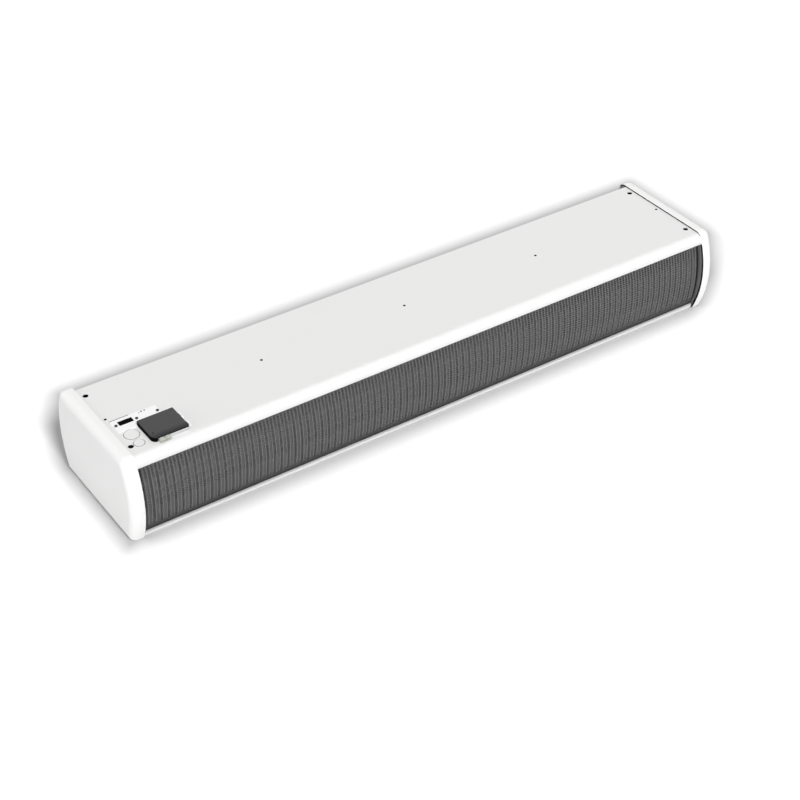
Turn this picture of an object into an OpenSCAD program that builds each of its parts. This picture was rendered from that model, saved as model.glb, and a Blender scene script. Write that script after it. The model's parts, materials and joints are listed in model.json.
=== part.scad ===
// Air curtain for fixing over a doorway: a long casing between two moulded end caps,
// a curved intake grille in front, heating rods, two cross-flow rotors on one motor,
// and three tilting vanes in the outlet slot in the underside.
// X runs along the length, Y from front to back, Z up. The origin is the middle of the base.

/* [Casing] */
// Overall length, over both end caps
unit_l = 1575; // [1400:5:2000]
// Overall depth, from the front bulge to the back bulge
unit_d = 344; // [336:2:380]
// Overall height, at the end caps
unit_h = 214; // [210:1:230]
// Radius of the front and back curve of the end caps
barrel_r = 240; // [232:4:300]
// How far the widest level lies below mid height
belly_drop = 2; // [0:0.5:6]
// How far the end caps stand above the top panel
top_step = 3.5; // [2:0.5:6]
// Thickness of the casing's sheet steel
sheet_t = 1.2; // [0.8:0.1:1.6]
// How far the back panel lies inside the curve of the end caps
back_recess = 17; // [14:1:22]
// Radius of the rounded front edge of the top panel
band_r = 19; // [15:1:22]
// Height of the straight part below that rounded edge
band_drop = 4; // [3:0.5:6]
// How far the front of that edge lies inside the end caps' widest line
band_recess = 18.5; // [17:0.5:22]
// Width of the fold that stiffens the lower edge of the front band
band_fold_w = 26; // [22:1:30]

/* [End caps] */
// Width of an end cap along the length
cap_w = 30; // [26:1:40]
// Wall of an end cap
cap_wall = 3; // [2:0.5:4]
// Rounding of the cap's outer edge
cap_edge_r = 18; // [14:1:22]
// Rounding of the cap's upper corners
cap_top_r = 20; // [14:1:26]
// Rounding of the cap's lower corners
cap_low_r = 8; // [5:1:12]
// How far the cap's inner rim is rolled in at the front and back
rim_roll = 5.5; // [3:0.5:8]
// How far the cap's inner rim is rolled in at the top
rim_roll_top = 1.5; // [1:0.5:2]
// Joint line between the cap's rim and the end plate
cap_joint = 1.5; // [1:0.5:3]
// Diameter of the screw bosses inside the cap
boss_d = 10; // [8:1:14]
// How far the screw bosses lie inside the front and back bulge
boss_in = 64; // [60:1:68]
// Distance of the screw bosses above and below the widest level
boss_rise = 60; // [54:1:62]
// Diameter of the cap screws
cap_screw_d = 4; // [3:0.5:5]

/* [Bulkheads] */
// Thickness of the end plates
plate_t = 1.5; // [1.2:0.1:2.5]
// How far the end plate's edge lies inside the cap's rim
plate_inset = 1; // [0.5:0.5:3]
// Thickness of the bulkheads beside the motor
bulkhead_t = 2; // [1.5:0.5:3]

/* [Intake grille] */
// Radius of the grille's curve
grille_r = 300; // [260:10:400]
// Height of the grille's widest line
grille_belly_z = 96; // [90:1:102]
// How far the grille lies inside the front line of the end caps
grille_recess = 15.3; // [13:0.5:18]
// Thickness of the grille sheet
grille_t = 1.5; // [1:0.5:2]
// Pitch of the slots along the grille
slot_pitch = 17; // [14:1:24]
// Width of a slot
slot_w = 9; // [6:0.5:11]
// Height of the solid rail between the two rows of slots
grille_mid_rail = 6; // [4:1:12]
// Plain margin above and below the slots
grille_margin = 9; // [7:1:14]
// Gap between the grille and each end plate
grille_end_gap = 2; // [1:0.5:4]
// Gap between the grille and the band above it
grille_top_gap = 1.9; // [1.5:0.1:3]
// Depth of the frame behind the grille sheet
grille_frame_d = 8; // [6:1:12]
// Thickness of the frame behind the grille sheet
grille_frame_t = 2; // [1.5:0.5:3]
// Radius of the rail along the lower edge, which carries the hinge
hinge_rail_r = 2.3; // [2.1:0.1:2.6]
// Height of the hinge line
hinge_z = 14; // [13.5:0.5:16]
// Diameter of the hinge pins
hinge_pin_d = 3; // [2:0.5:3.5]
// Radial clearance of each pin or shaft in its bore
run_fit = 0.05; // [0.02:0.01:0.1]
// Height of the lip below the grille
lip_h = 10.2; // [8:0.2:10.4]
// Wall of the lip
lip_t = 2; // [1.5:0.5:3]
// Depth of the lip from front to back
lip_d = 22; // [16:1:30]
// Rounding of the lip's lower edge
lip_r = 4; // [3:0.5:6]

/* [Fan] */
// Distance of the shaft behind the middle of the casing
shaft_y = 28; // [24:1:30]
// Height of the shaft
shaft_z = 118; // [114:1:122]
// Radius of a rotor over its blades
rotor_r = 60; // [52:1:61]
// Radial width of the blades
blade_w = 13; // [9:1:16]
// Number of blades round a rotor
blade_n = 24; // [16:1:30]
// Thickness of a blade
blade_t = 1.2; // [0.8:0.1:1.6]
// Number of sections along a rotor
rotor_bays = 5; // [3:1:7]
// Thickness of the discs and rings of a rotor
disc_t = 2; // [1.5:0.5:3]
// Diameter of the hub in the rotor's inner disc
hub_d = 34; // [26:1:40]
// Diameter of the motor shaft
shaft_d = 12; // [8:1:14]
// Diameter of the stub shaft at the outer end of a rotor
stub_d = 8; // [6:1:10]
// Gap between a rotor and its bulkhead or end plate
rotor_gap = 9; // [8.5:0.5:14]
// Diameter of the motor
motor_d = 100; // [80:2:110]
// Length of the motor
motor_l = 108; // [90:2:120]
// Diameter of the boss at each end of the motor
motor_boss_d = 34; // [28:1:38]
// Outer diameter of the rubber rings that carry the motor
ring_d = 50; // [44:1:56]
// Length of a rubber ring
ring_l = 9; // [7:1:12]
// Radius of the rear wall of the fan housing
scroll_r = 74; // [74:1:76]
// Distance of the curve's centre behind the shaft
scroll_dy = 10; // [9:1:12]
// Distance of the curve's centre below the shaft
scroll_dz = 8; // [7:1:9]
// Angle at which the rear wall starts, above the rotor
scroll_a = 115; // [95:1:118]
// Outer diameter of an end bearing
bearing_d = 26; // [22:1:34]
// Length of an end bearing
bearing_l = 9; // [8.5:0.5:12]

/* [Outlet] */
// Width of the outlet slot, front to back
outlet_w = 72; // [66:1:74]
// Number of vanes
vane_n = 3; // [3:1:3]
// Height of a vane
vane_c = 30; // [24:1:32]
// Thickness of a vane
vane_t = 4; // [3:0.5:5]
// Height of the vanes' pivots
vane_z = 22; // [21:0.5:24]
// Diameter of the vanes' pivots
vane_pin_d = 5; // [4:0.5:6]
// Radius of the crank that joins a vane to the link bar
crank_r = 12; // [9:1:14]
// Width of a crank and of the link bar
link_w = 8; // [7:1:9]
// Thickness of a crank and of the link bar
link_t = 2; // [1.5:0.5:3]
// Diameter of the crank pins
crank_pin_d = 4; // [3:0.5:5]

/* [Heating rods] */
// Number of hairpin rods
rod_n = 3; // [3:1:3]
// Height of the lowest run
run_z = 38; // [34:1:40]
// Distance of the highest run below the service tray
rod_tray_gap = 18.1; // [16:0.1:20]
// Distance of the rods behind the front bulge
rod_front = 72; // [68:1:76]
// Diameter of a rod's tube
rod_d = 8.5; // [6:0.5:10]
// Gap between the fins of neighbouring runs
fin_gap = 3; // [2:0.5:6]
// Pitch of the fins
fin_pitch = 17; // [12:1:25]
// Thickness of a fin
fin_t = 0.8; // [0.6:0.1:1.5]
// Length of the bare tube at each end of a run
rod_cold = 34; // [30:1:45]
// Number of brackets that carry the rods
rack_n = 5; // [3:1:6]
// Width of a rod bracket
rack_w = 34; // [28:1:40]

/* [Top details] */
// Distance of the four suspension holes from the ends of the top panel
mount_in = 12; // [10.5:0.5:16]
// Spacing of the suspension holes, front to back
mount_span_y = 206.5; // [190:0.5:215]
// Distance of the middle of those holes in front of the casing's middle
mount_shift_y = 4.25; // [3:0.25:6]
// Diameter of the suspension holes
mount_d = 12.5; // [10:0.5:13]
// Outer diameter of the bushes below the suspension holes
bush_d = 15.4; // [14.5:0.1:15.4]
// Length of those bushes
bush_l = 12; // [8:1:20]
// Diameter of the five panel screws
panel_screw_d = 4.5; // [3:0.5:6]
// Length of the panel screws
panel_screw_l = 10; // [8:1:14]
// Distance of the panel screws behind the casing's middle
panel_screw_y = 2.2; // [0:0.2:5]
// Diameter of the large knock-out
knock_big_d = 34; // [28:1:34]
// Diameter of the small knock-out
knock_small_d = 24.5; // [18:0.5:24.5]
// Cut line round a knock-out
knock_line = 0.3; // [0.2:0.05:0.4]
// Distance of the knock-outs from the end of the top panel
knock_in = 31.7; // [31.7:0.1:35]
// Distance of the large knock-out behind the front bulge
knock_big_front = 98.8; // [96.2:0.1:98.8]
// Distance of the small knock-out behind the front bulge
knock_small_front = 66; // [62:0.5:66.5]

/* [Control plate] */
// Length of the control plate
ctrl_l = 105.5; // [100:0.5:115]
// Depth of the control plate
ctrl_d = 44; // [40:0.5:46]
// Thickness of the control plate
ctrl_t = 1.2; // [0.8:0.1:2]
// Distance of the control plate from the end of the top panel
ctrl_in = 11.5; // [9:0.5:14]
// Distance of the control plate behind the front bulge
ctrl_front = 115.7; // [115.7:0.1:120]
// Length of the cable opening
entry_l = 33; // [28:0.5:34]
// Depth of the cable opening
entry_d = 15.5; // [12:0.5:16]
// Diameter of the control plate's screws
ctrl_screw_d = 6.5; // [5:0.5:7]

/* [Control cover] */
// Length of the control cover
cover_l = 83; // [80:1:90]
// Depth of the control cover
cover_d = 72; // [66:1:72]
// Height of the control cover over the top panel
cover_h = 12.5; // [12:0.5:16]
// Wall of the control cover
cover_wall = 2; // [1.5:0.1:2.2]
// Rounding of the cover's front left corner
cover_corner_r = 10; // [6:1:14]
// Distance of the cover from the end of the top panel
cover_in = 54; // [53:0.5:60]
// Distance of the cover behind the front bulge
cover_front = 46.7; // [44:0.1:47]
// Radius of the hinge knuckles
knuckle_r = 2.5; // [2.2:0.1:3]
// Diameter of the cover's hinge pin
cover_pin_d = 2; // [1.5:0.1:2.4]
// Thickness of the circuit board
board_t = 1.6; // [1:0.1:2]
// Travel of the reset button
button_travel = 2; // [1:0.5:2]
// Diameter of the reset button
button_d = 6; // [5:0.5:7]
// Width of a modular plug
plug_w = 11.6; // [10:0.1:12]
// Height of a modular plug
plug_h = 6; // [5:0.5:6.5]

/* [Electric parts] */
// Height of the service tray below the top panel
tray_h = 37; // [34:1:38]
// Distance of the service tray behind the front bulge
tray_front = 46; // [45:1:50]
// Length of the service tray
tray_l = 136; // [125:1:180]
// Length of the terminal block
terminal_l = 62; // [50:1:70]
// Depth of the terminal block
terminal_d = 26; // [22:1:26]
// Depth of a contactor, front to back
contactor_d = 44; // [36:1:44]
// Width of a contactor
contactor_w = 22; // [18:1:23]
// Diameter of the motor's capacitor
capacitor_d = 26; // [20:1:28]
// Length of the motor's capacitor
capacitor_l = 68; // [50:1:68]

/* [Hidden] */
$fn = 64;
smooth = 96;
lens_fn = 400;
hull_fn = 32;
skin = 0.01;
seat = 0.3;

// --- casing ---
half_d = unit_d / 2;
arc_c = barrel_r - half_d;
belly_z = unit_h / 2 - belly_drop;
top_z = unit_h - top_step;
under_z = top_z - sheet_t;
cap_out_x = unit_l / 2;
cap_body_x = cap_out_x - cap_edge_r;
rim_x = cap_out_x - cap_w;
plate_x1 = rim_x - cap_joint;
plate_x0 = plate_x1 - plate_t;
panel_x = plate_x1 + 0.5;
bay_x = plate_x0 - seat;
band_y = -half_d + band_recess;
band_arc_y = band_y + band_r;
band_low_z = top_z - band_r - band_drop;
top_back_y = back_y(back_recess, top_z);
lip_y = front_y(rim_roll, lip_h);
lip_back_y = lip_y + lip_d;
lip_lean = 2;
lip_shelf = lip_d / 2;
boss_y = half_d - boss_in;
cap_boss = [for (y = [-boss_y, boss_y], z = [-boss_rise, boss_rise]) [y, belly_z + z]];
screw_head_h = 2.5;
cap_screw_end = cap_out_x - 2 * cap_wall;

// --- intake grille ---
grille_y = -half_d + grille_recess;
grille_c = grille_y + grille_r;
grille_x = plate_x0 - grille_end_gap;
rail_lap = 0.8;
grille_low_z = hinge_z + hinge_rail_r - rail_lap;
grille_high_z = band_low_z - grille_top_gap;
hinge_y = grille_front(hinge_z) + hinge_rail_r - rail_lap;
slot_n = floor((2 * grille_x - 2 * grille_margin) / slot_pitch);
slot_x0 = -slot_n * slot_pitch / 2 + (slot_pitch - slot_w) / 2;
pin_grip = 12;
hinge_ear = 1.6;
catch_n = 3;
catch_w = 24;
catch_h = 10;

// --- fan ---
bearing_bore_d = bearing_d + 2 * run_fit;
bearing_flange_t = 3;
bearing_flange_w = 4;
bulkhead_x = motor_l / 2 + 12;
bulkhead_y0 = -62;
fan_x0 = bulkhead_x + bulkhead_t;
ring_groove = 4;
ring_x = bulkhead_x + bulkhead_t / 2;
boss_x = ring_x + ring_l / 2;
bell_l = 16;
bell_step = 4;
rotor_x0 = fan_x0 + rotor_gap;
rotor_x1 = plate_x0 - rotor_gap;
hub_l = 18;
stub_hub_d = 24;
blade_curve_r = blade_w;
scroll_y = shaft_y + scroll_dy;
scroll_z = shaft_z - scroll_dz;
outlet_y1 = scroll_y + scroll_r;
outlet_y0 = outlet_y1 - outlet_w;
scroll_n = 24;
tongue_foot_h = 12;
tongue_gap = 5;
tongue_a = 243;
tongue_y = shaft_y + (rotor_r + tongue_gap) * cos(tongue_a);
tongue_top_z = shaft_z + (rotor_r + tongue_gap) * sin(tongue_a);
tongue_curl_r = 6;

// --- outlet vanes ---
vane_x = plate_x0 - 14;
vane_arc_r = (pow(vane_c / 2 + 1, 2) + pow(vane_t / 2, 2)) / vane_t;
vane_pin_in = 6;
crank_pin_end = 2;
link_x0 = vane_x + link_t + seat;

// --- heating rods ---
rod_y = -half_d + rod_front;
run_top_z = top_z - 2 * sheet_t - tray_h - rod_tray_gap;
run_pitch = (run_top_z - run_z) / (2 * rod_n - 1);
fin_d = run_pitch - fin_gap;
rod_x0 = -plate_x0 + 12;
rod_x1 = plate_x0 - 30;
fin_from = -rod_x1 + rod_cold;
fin_n = floor((2 * rod_x1 - 2 * rod_cold) / fin_pitch);
rack_t = 1.5;
rack_foot = 12;
rack_step = (2 * rod_x1 - rod_cold) / (rack_n - 1);
rack_x = [for (i = [0:rack_n - 1]) -rod_x1 + rod_cold / 2 + i * rack_step];

// --- top details ---
mount_x = panel_x - mount_in;
mount_y = [-mount_shift_y - mount_span_y / 2, -mount_shift_y + mount_span_y / 2];
knock_x = -panel_x + knock_in;
knock_big_y = -half_d + knock_big_front;
knock_small_y = -half_d + knock_small_front;
panel_screw_n = 5;
panel_screw_step = 2 * (panel_x - 9.5) / (panel_screw_n - 1);
panel_screw_x = [for (i = [0:panel_screw_n - 1]) (i - (panel_screw_n - 1) / 2) * panel_screw_step];

// --- control plate ---
ctrl_x0 = -panel_x + ctrl_in;
ctrl_y0 = -half_d + ctrl_front;
ctrl_top_z = top_z + ctrl_t;
entry_x0 = ctrl_x0 + 12.5;
entry_y0 = ctrl_y0 + 20.3;
ctrl_shank_d = 3;
ctrl_shank_l = ctrl_t + sheet_t;
ctrl_screw_h = 1.8;
ctrl_screw_at = [for (x = [5.5, ctrl_l / 2, ctrl_l - 4.5]) [ctrl_x0 + x, ctrl_y0 + ctrl_d / 2 + 2]];
// each lamp hole: how far along the plate, how far back, and its diameter
ctrl_dots = [[63, 39.5, 2], [71.4, 41.8, 2], [79.4, 41, 2], [91.7, 24.4, 2.4]];

// --- service tray and what it holds ---
tray_x0 = -mount_x + bush_d / 2 + 3.8;
tray_x1 = tray_x0 + tray_l;
tray_y0 = -half_d + tray_front;
tray_shaft_gap = 42;
tray_y1 = shaft_y - tray_shaft_gap;
tray_z = under_z - tray_h;
rack_low_top_z = tray_z - 2 * sheet_t;
grommet_y = tray_y0 + 20;
grommet_d = 14;
grommet_lip = 2;
grommet_l = 6;
way_n = 6;
way_p = terminal_l / way_n;
terminal_back = 32;
terminal_x0 = tray_x0 + 6;
terminal_y0 = tray_y1 - terminal_back - terminal_d;
contactor_n = 2;
contactor_gap = 2;
contactor_p = contactor_w + contactor_gap;
contactor_back = 16;
contactor_x0 = tray_x1 - 4 - contactor_n * contactor_p;
contactor_y0 = tray_y1 - contactor_back - contactor_d;
capacitor_x0 = tray_x0 + 12;
capacitor_x1 = capacitor_x0 + capacitor_l;
capacitor_y = tray_y0 + capacitor_d / 2 + 7;

// --- control cover and what it holds ---
cover_x0 = -panel_x + cover_in;
cover_x1 = cover_x0 + cover_l;
cover_y0 = -half_d + cover_front;
cover_y1 = cover_y0 + cover_d;
cover_z1 = top_z + cover_h;
cover_low_z = top_z + seat;
cover_edge_r = 4;
knuckle_x = cover_x1 + knuckle_r + 0.4;
knuckle_z = top_z + knuckle_r + 1.2;
lug_w = 9;
lug_gap = 0.4;
base_w = 7;
base_y = lug_w + lug_gap;
lug_y = [cover_y0 + 12, cover_y1 - 26];
hinge_foot_t = 0.9;
board_fit = 1.2;
board_z0 = ctrl_top_z;
board_z1 = board_z0 + board_t;
plug_gap = 1.2;
plug_x = [cover_x0 + 13, cover_x0 + 13 + plug_w + plug_gap];
plug_z = board_z1 - 0.6;
plug_out = 9.5;
plug_key = 0.7;
socket_y0 = cover_y0 + 4.5;
socket_l = 14.5;
button_x = cover_x1 - 24;
button_y = cover_y0 + 36;
button_floor = 1;
button_rest_z = top_z + button_floor + button_travel + seat;
button_gap = 1.8;
button_top_z = cover_z1 - cover_wall - button_gap;
leg_in = [14, 10];
leg_back = [30, 52];
switch_wall = 1.2;

function front_y(inset, z) = arc_c - sqrt(pow(barrel_r - inset, 2) - pow(z - belly_z, 2));
function back_y(inset, z) = -front_y(inset, z);
function grille_front(z) = grille_c - sqrt(pow(grille_r, 2) - pow(z - grille_belly_z, 2));
function vane_y(i) = outlet_y0 + outlet_w * (i + 0.5) / vane_n;
function at(c, r, a) = c + r * [cos(a), sin(a)];
function arc(c, r, a0, a1, n) = [for (i = [0:n]) at(c, r, a0 + (a1 - a0) * i / n)];

// a section drawn in the plane of depth and height, run along the length
module along_x(x0, x1) {
    translate([x0, 0, 0]) rotate([90, 0, 90]) linear_extrude(height = x1 - x0) children();
}
module rod_x(x0, x1, y, z, d) {
    along_x(x0, x1) translate([y, z]) circle(d = d);
}
module slab(y0, y1, z0, z1) {
    translate([y0, z0]) square([y1 - y0, z1 - z0]);
}
module box(x, y, z) {
    translate([x[0], y[0], z[0]]) cube([x[1] - x[0], y[1] - y[0], z[1] - z[0]]);
}
module both_ends() {
    children();
    mirror([1, 0, 0]) children();
}
// the lens between the front and back curves, drawn in by inset
module barrel(inset) {
    intersection() {
        translate([arc_c, belly_z]) circle(r = barrel_r - inset, $fn = smooth);
        translate([-arc_c, belly_z]) circle(r = barrel_r - inset, $fn = smooth);
    }
}

// --- end caps ---
module cap_outline(side, top, low, r_top, r_low) {
    intersection() {
        offset(r = r_top) offset(delta = -r_top) intersection() {
            barrel(side);
            slab(-half_d, half_d, low, unit_h - top);
        }
        slab(-half_d, half_d, belly_z, unit_h);
    }
    intersection() {
        offset(r = r_low) offset(delta = -r_low) intersection() {
            barrel(side);
            slab(-half_d, half_d, low, unit_h - top);
        }
        slab(-half_d, half_d, 0, belly_z);
    }
}
module cap_slice(x, side, top, low) {
    r_top = max(cap_top_r - side, 2);
    r_low = max(cap_low_r - side, 2);
    along_x(x, x + skin) cap_outline(side, top, low, r_top, r_low, $fn = hull_fn * 2);
}
module cap_blank() {
    roll_w = cap_body_x - rim_x;
    hull() {
        for (s = [0:3]) {
            k = 1 - sin(90 * s / 3);
            cap_slice(rim_x + roll_w * s / 3, rim_roll * k, rim_roll_top * k, 0);
        }
        for (a = [18:18:90]) {
            inset = cap_edge_r * (1 - cos(a));
            cap_slice(cap_body_x + cap_edge_r * sin(a) - skin, inset, inset, inset);
        }
    }
}
module cap_hollow() {
    inner_r = cap_edge_r - cap_wall;
    hull() {
        cap_slice(rim_x - 1, rim_roll + cap_wall, rim_roll_top + cap_wall, cap_wall);
        cap_slice(cap_body_x, rim_roll + cap_wall, rim_roll_top + cap_wall, cap_wall);
        for (a = [30:30:90]) {
            inset = rim_roll + cap_wall + inner_r * (1 - cos(a));
            cap_slice(cap_body_x + inner_r * sin(a), inset, inset, inset);
        }
    }
}
module end_cap() {
    color([0.93, 0.93, 0.93]) difference() {
        union() {
            difference() {
                cap_blank();
                cap_hollow();
            }
            for (p = cap_boss) rod_x(plate_x1, cap_out_x - cap_wall + 1, p[0], p[1], boss_d);
        }
        for (p = cap_boss) rod_x(plate_x1 - 1, cap_screw_end + 1, p[0], p[1], cap_screw_d + 2 * run_fit);
    }
}
module end_cap_right() {
    end_cap();
}
module end_cap_left() {
    mirror([1, 0, 0]) end_cap();
}
module cap_screws() {
    color([0.6, 0.6, 0.62]) both_ends() for (p = cap_boss) {
        rod_x(plate_x0 - screw_head_h, plate_x0, p[0], p[1], 2 * cap_screw_d);
        rod_x(plate_x0 - skin, cap_screw_end, p[0], p[1], cap_screw_d);
    }
}

// --- end plates ---
module end_plate() {
    color([0.2, 0.2, 0.21]) along_x(plate_x0, plate_x1) difference() {
        union() {
            intersection() {
                barrel(rim_roll + plate_inset);
                slab(-half_d, half_d, 0, under_z);
            }
            translate([hinge_y, hinge_z]) circle(d = hinge_pin_d + 2 * hinge_ear);
        }
        top_section();
        outside_band();
        translate([shaft_y, shaft_z]) circle(d = bearing_bore_d);
        translate([hinge_y, hinge_z]) circle(d = hinge_pin_d + 2 * run_fit);
        for (i = [0:vane_n - 1]) translate([vane_y(i), vane_z]) circle(d = vane_pin_d + 2 * run_fit);
        for (p = cap_boss) translate(p) circle(d = cap_screw_d + 2 * run_fit);
    }
}
module end_plate_right() {
    end_plate();
}
module end_plate_left() {
    mirror([1, 0, 0]) end_plate();
}

// --- casing panels ---
module top_section() {
    slab(band_arc_y, top_back_y, under_z, top_z);
    intersection() {
        difference() {
            translate([band_arc_y, top_z - band_r]) circle(r = band_r, $fn = smooth);
            translate([band_arc_y, top_z - band_r]) circle(r = band_r - sheet_t, $fn = smooth);
        }
        slab(band_y, band_arc_y, top_z - band_r, top_z);
    }
    slab(band_y, band_y + sheet_t, band_low_z, top_z - band_r);
    slab(band_y, band_y + band_fold_w, band_low_z, band_low_z + sheet_t);
}
// all that lies in front of the band's inner face
module outside_band() {
    difference() {
        slab(-half_d, band_arc_y, band_low_z, unit_h);
        translate([band_arc_y, top_z - band_r]) circle(r = band_r - sheet_t, $fn = smooth);
        slab(band_y + sheet_t, band_arc_y, band_low_z, top_z - band_r);
    }
}
module top_hole(x, y, d) {
    translate([x, y, under_z - 1]) cylinder(d = d, h = sheet_t + 2);
}
module top_panel() {
    color([0.9, 0.9, 0.89]) difference() {
        along_x(-panel_x, panel_x) top_section();
        for (x = [-mount_x, mount_x], y = mount_y) top_hole(x, y, mount_d);
        for (x = panel_screw_x) top_hole(x, panel_screw_y, panel_screw_d + 2 * run_fit);
        top_hole(knock_x, knock_big_y, knock_big_d + 2 * knock_line);
        top_hole(knock_x, knock_small_y, knock_small_d + 2 * knock_line);
        box([entry_x0 - 1, entry_x0 + entry_l + 1], [entry_y0 - 1, entry_y0 + entry_d + 1],
            [under_z - 1, top_z + 1]);
        for (p = ctrl_screw_at) top_hole(p[0], p[1], ctrl_shank_d + 2 * run_fit);
    }
}
module knockout_discs() {
    color([0.9, 0.9, 0.89]) {
        translate([knock_x, knock_big_y, under_z]) cylinder(d = knock_big_d, h = sheet_t);
        translate([knock_x, knock_small_y, under_z]) cylinder(d = knock_small_d, h = sheet_t);
    }
}
module hanger_bushes() {
    color([0.3, 0.3, 0.31]) for (x = [-mount_x, mount_x], y = mount_y)
        translate([x, y, under_z - bush_l]) difference() {
            cylinder(d = bush_d, h = bush_l);
            translate([0, 0, -1]) cylinder(d = mount_d, h = bush_l + 2);
        }
}
// the screws' heads are sunk level with the panel
module panel_screws() {
    color([0.25, 0.25, 0.26]) for (x = panel_screw_x)
        translate([x, panel_screw_y, top_z - panel_screw_l])
            cylinder(d = panel_screw_d, h = panel_screw_l);
}
module back_panel() {
    color([0.92, 0.92, 0.92]) along_x(-bay_x, bay_x) {
        intersection() {
            difference() {
                barrel(back_recess);
                barrel(back_recess + sheet_t);
            }
            slab(0, half_d, 0, under_z);
        }
        slab(outlet_y1, back_y(back_recess + sheet_t / 2, 0), 0, sheet_t);
    }
}
module front_lip() {
    nose_y = lip_y + lip_lean;
    color([0.95, 0.95, 0.95]) along_x(-bay_x, bay_x) difference() {
        polygon(concat(
            [[lip_back_y, 0]],
            arc([nose_y + lip_r, lip_r], lip_r, 270, 180, 6),
            [[lip_y, lip_h], [lip_y + lip_shelf, lip_h], [lip_y + lip_shelf, lip_h - lip_t],
             [lip_back_y, lip_t]]));
        polygon([[nose_y + lip_t + lip_r, lip_t], [nose_y + lip_t, lip_r],
                 [lip_y + lip_t, lip_h - lip_t], [lip_y + lip_shelf - lip_t, lip_h - lip_t],
                 [lip_y + lip_shelf - lip_t, lip_t]]);
    }
}
module bottom_panel() {
    color([0.9, 0.9, 0.9]) along_x(-bay_x, bay_x) {
        slab(lip_back_y, outlet_y0, 0, sheet_t);
        slab(outlet_y0 - sheet_t, outlet_y0, 0, tongue_foot_h);
    }
}

// --- intake grille ---
module grille_skin(t0, t1, z0, z1) {
    intersection() {
        difference() {
            translate([grille_c, grille_belly_z]) circle(r = grille_r - t0, $fn = smooth * 2);
            translate([grille_c, grille_belly_z]) circle(r = grille_r - t1, $fn = smooth * 2);
        }
        slab(-half_d, 0, z0, z1);
    }
}
module grille_sheet() {
    slots_z0 = grille_low_z + grille_margin;
    slots_z1 = grille_high_z - grille_margin;
    mid_z = (slots_z0 + slots_z1) / 2;
    cut_y = [-half_d, grille_front(slots_z0) + 4 * grille_t];
    color([0.3, 0.3, 0.31]) difference() {
        along_x(-grille_x, grille_x) grille_skin(0, grille_t, grille_low_z, grille_high_z);
        for (i = [0:slot_n - 1]) {
            x = slot_x0 + i * slot_pitch;
            box([x, x + slot_w], cut_y, [slots_z0, mid_z - grille_mid_rail / 2]);
            box([x, x + slot_w], cut_y, [mid_z + grille_mid_rail / 2, slots_z1]);
        }
    }
}
// a rim behind the sheet, with the round hinge rail along its foot
module grille_frame() {
    back = grille_t + grille_frame_t;
    top_y = grille_front(grille_high_z);
    color([0.75, 0.75, 0.76]) difference() {
        union() {
            along_x(-grille_x, grille_x) {
                slab(top_y, top_y + grille_frame_d, grille_high_z - grille_frame_t, grille_high_z);
                grille_skin(grille_t, back, grille_high_z - grille_margin, grille_high_z);
                grille_skin(grille_t, back, hinge_z, grille_low_z + grille_margin);
                translate([hinge_y, hinge_z]) circle(r = hinge_rail_r);
            }
            both_ends() along_x(grille_x - grille_frame_t, grille_x)
                grille_skin(grille_t, grille_frame_d, hinge_z, grille_high_z);
        }
        along_x(-unit_l, unit_l) grille_skin(-grille_t, grille_t, grille_low_z, unit_h);
        both_ends() rod_x(grille_x - pin_grip, grille_x + 1, hinge_y, hinge_z, hinge_pin_d);
    }
}
module grille_hinge_pins() {
    color([0.7, 0.7, 0.72]) both_ends()
        rod_x(grille_x - pin_grip, plate_x1 + 1, hinge_y, hinge_z, hinge_pin_d);
}
module grille_catches() {
    catch_y0 = grille_front(grille_high_z) + grille_t + grille_frame_d + seat;
    color([0.15, 0.15, 0.15]) for (i = [0:catch_n - 1]) {
        x = (i - (catch_n - 1) / 2) * 2 * grille_x / (catch_n + 0.5);
        box([x - catch_w / 2, x + catch_w / 2], [catch_y0, band_y + band_fold_w],
            [grille_high_z - catch_h, band_low_z]);
    }
}

// --- fan ---
module motor_bulkhead(x0) {
    color([0.7, 0.71, 0.72]) along_x(x0, x0 + bulkhead_t) difference() {
        union() {
            slab(bulkhead_y0, outlet_y1 - 1, tongue_top_z, under_z);
            slab(bulkhead_y0, outlet_y0 - sheet_t - 1, sheet_t, under_z);
        }
        translate([shaft_y, shaft_z]) circle(d = ring_d - 2 * ring_groove);
    }
}
module motor_bulkhead_right() {
    motor_bulkhead(bulkhead_x);
}
module motor_bulkhead_left() {
    motor_bulkhead(-bulkhead_x - bulkhead_t);
}
module motor_rings() {
    groove_d = ring_d - 2 * ring_groove;
    color([0.1, 0.1, 0.1]) both_ends() difference() {
        rod_x(ring_x - ring_l / 2, ring_x + ring_l / 2, shaft_y, shaft_z, ring_d);
        rod_x(ring_x - ring_l, ring_x + ring_l, shaft_y, shaft_z, motor_boss_d + 2 * run_fit);
        along_x(bulkhead_x - skin, fan_x0 + skin) difference() {
            translate([shaft_y, shaft_z]) circle(d = ring_d + 2);
            translate([shaft_y, shaft_z]) circle(d = groove_d);
        }
    }
}
module motor_housing() {
    end_x = motor_l / 2;
    color([0.62, 0.63, 0.65]) difference() {
        union() {
            rod_x(bell_l - end_x, end_x - bell_l, shaft_y, shaft_z, motor_d);
            both_ends() {
                rod_x(end_x - bell_l - skin, end_x, shaft_y, shaft_z, motor_d - 2 * bell_step);
                rod_x(end_x - skin, boss_x, shaft_y, shaft_z, motor_boss_d);
            }
        }
        rod_x(-boss_x - 1, boss_x + 1, shaft_y, shaft_z, shaft_d + 2 * run_fit);
    }
}
module motor_shaft() {
    color([0.8, 0.8, 0.82]) rod_x(-rotor_x0 - hub_l, rotor_x0 + hub_l, shaft_y, shaft_z, shaft_d);
}
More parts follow.
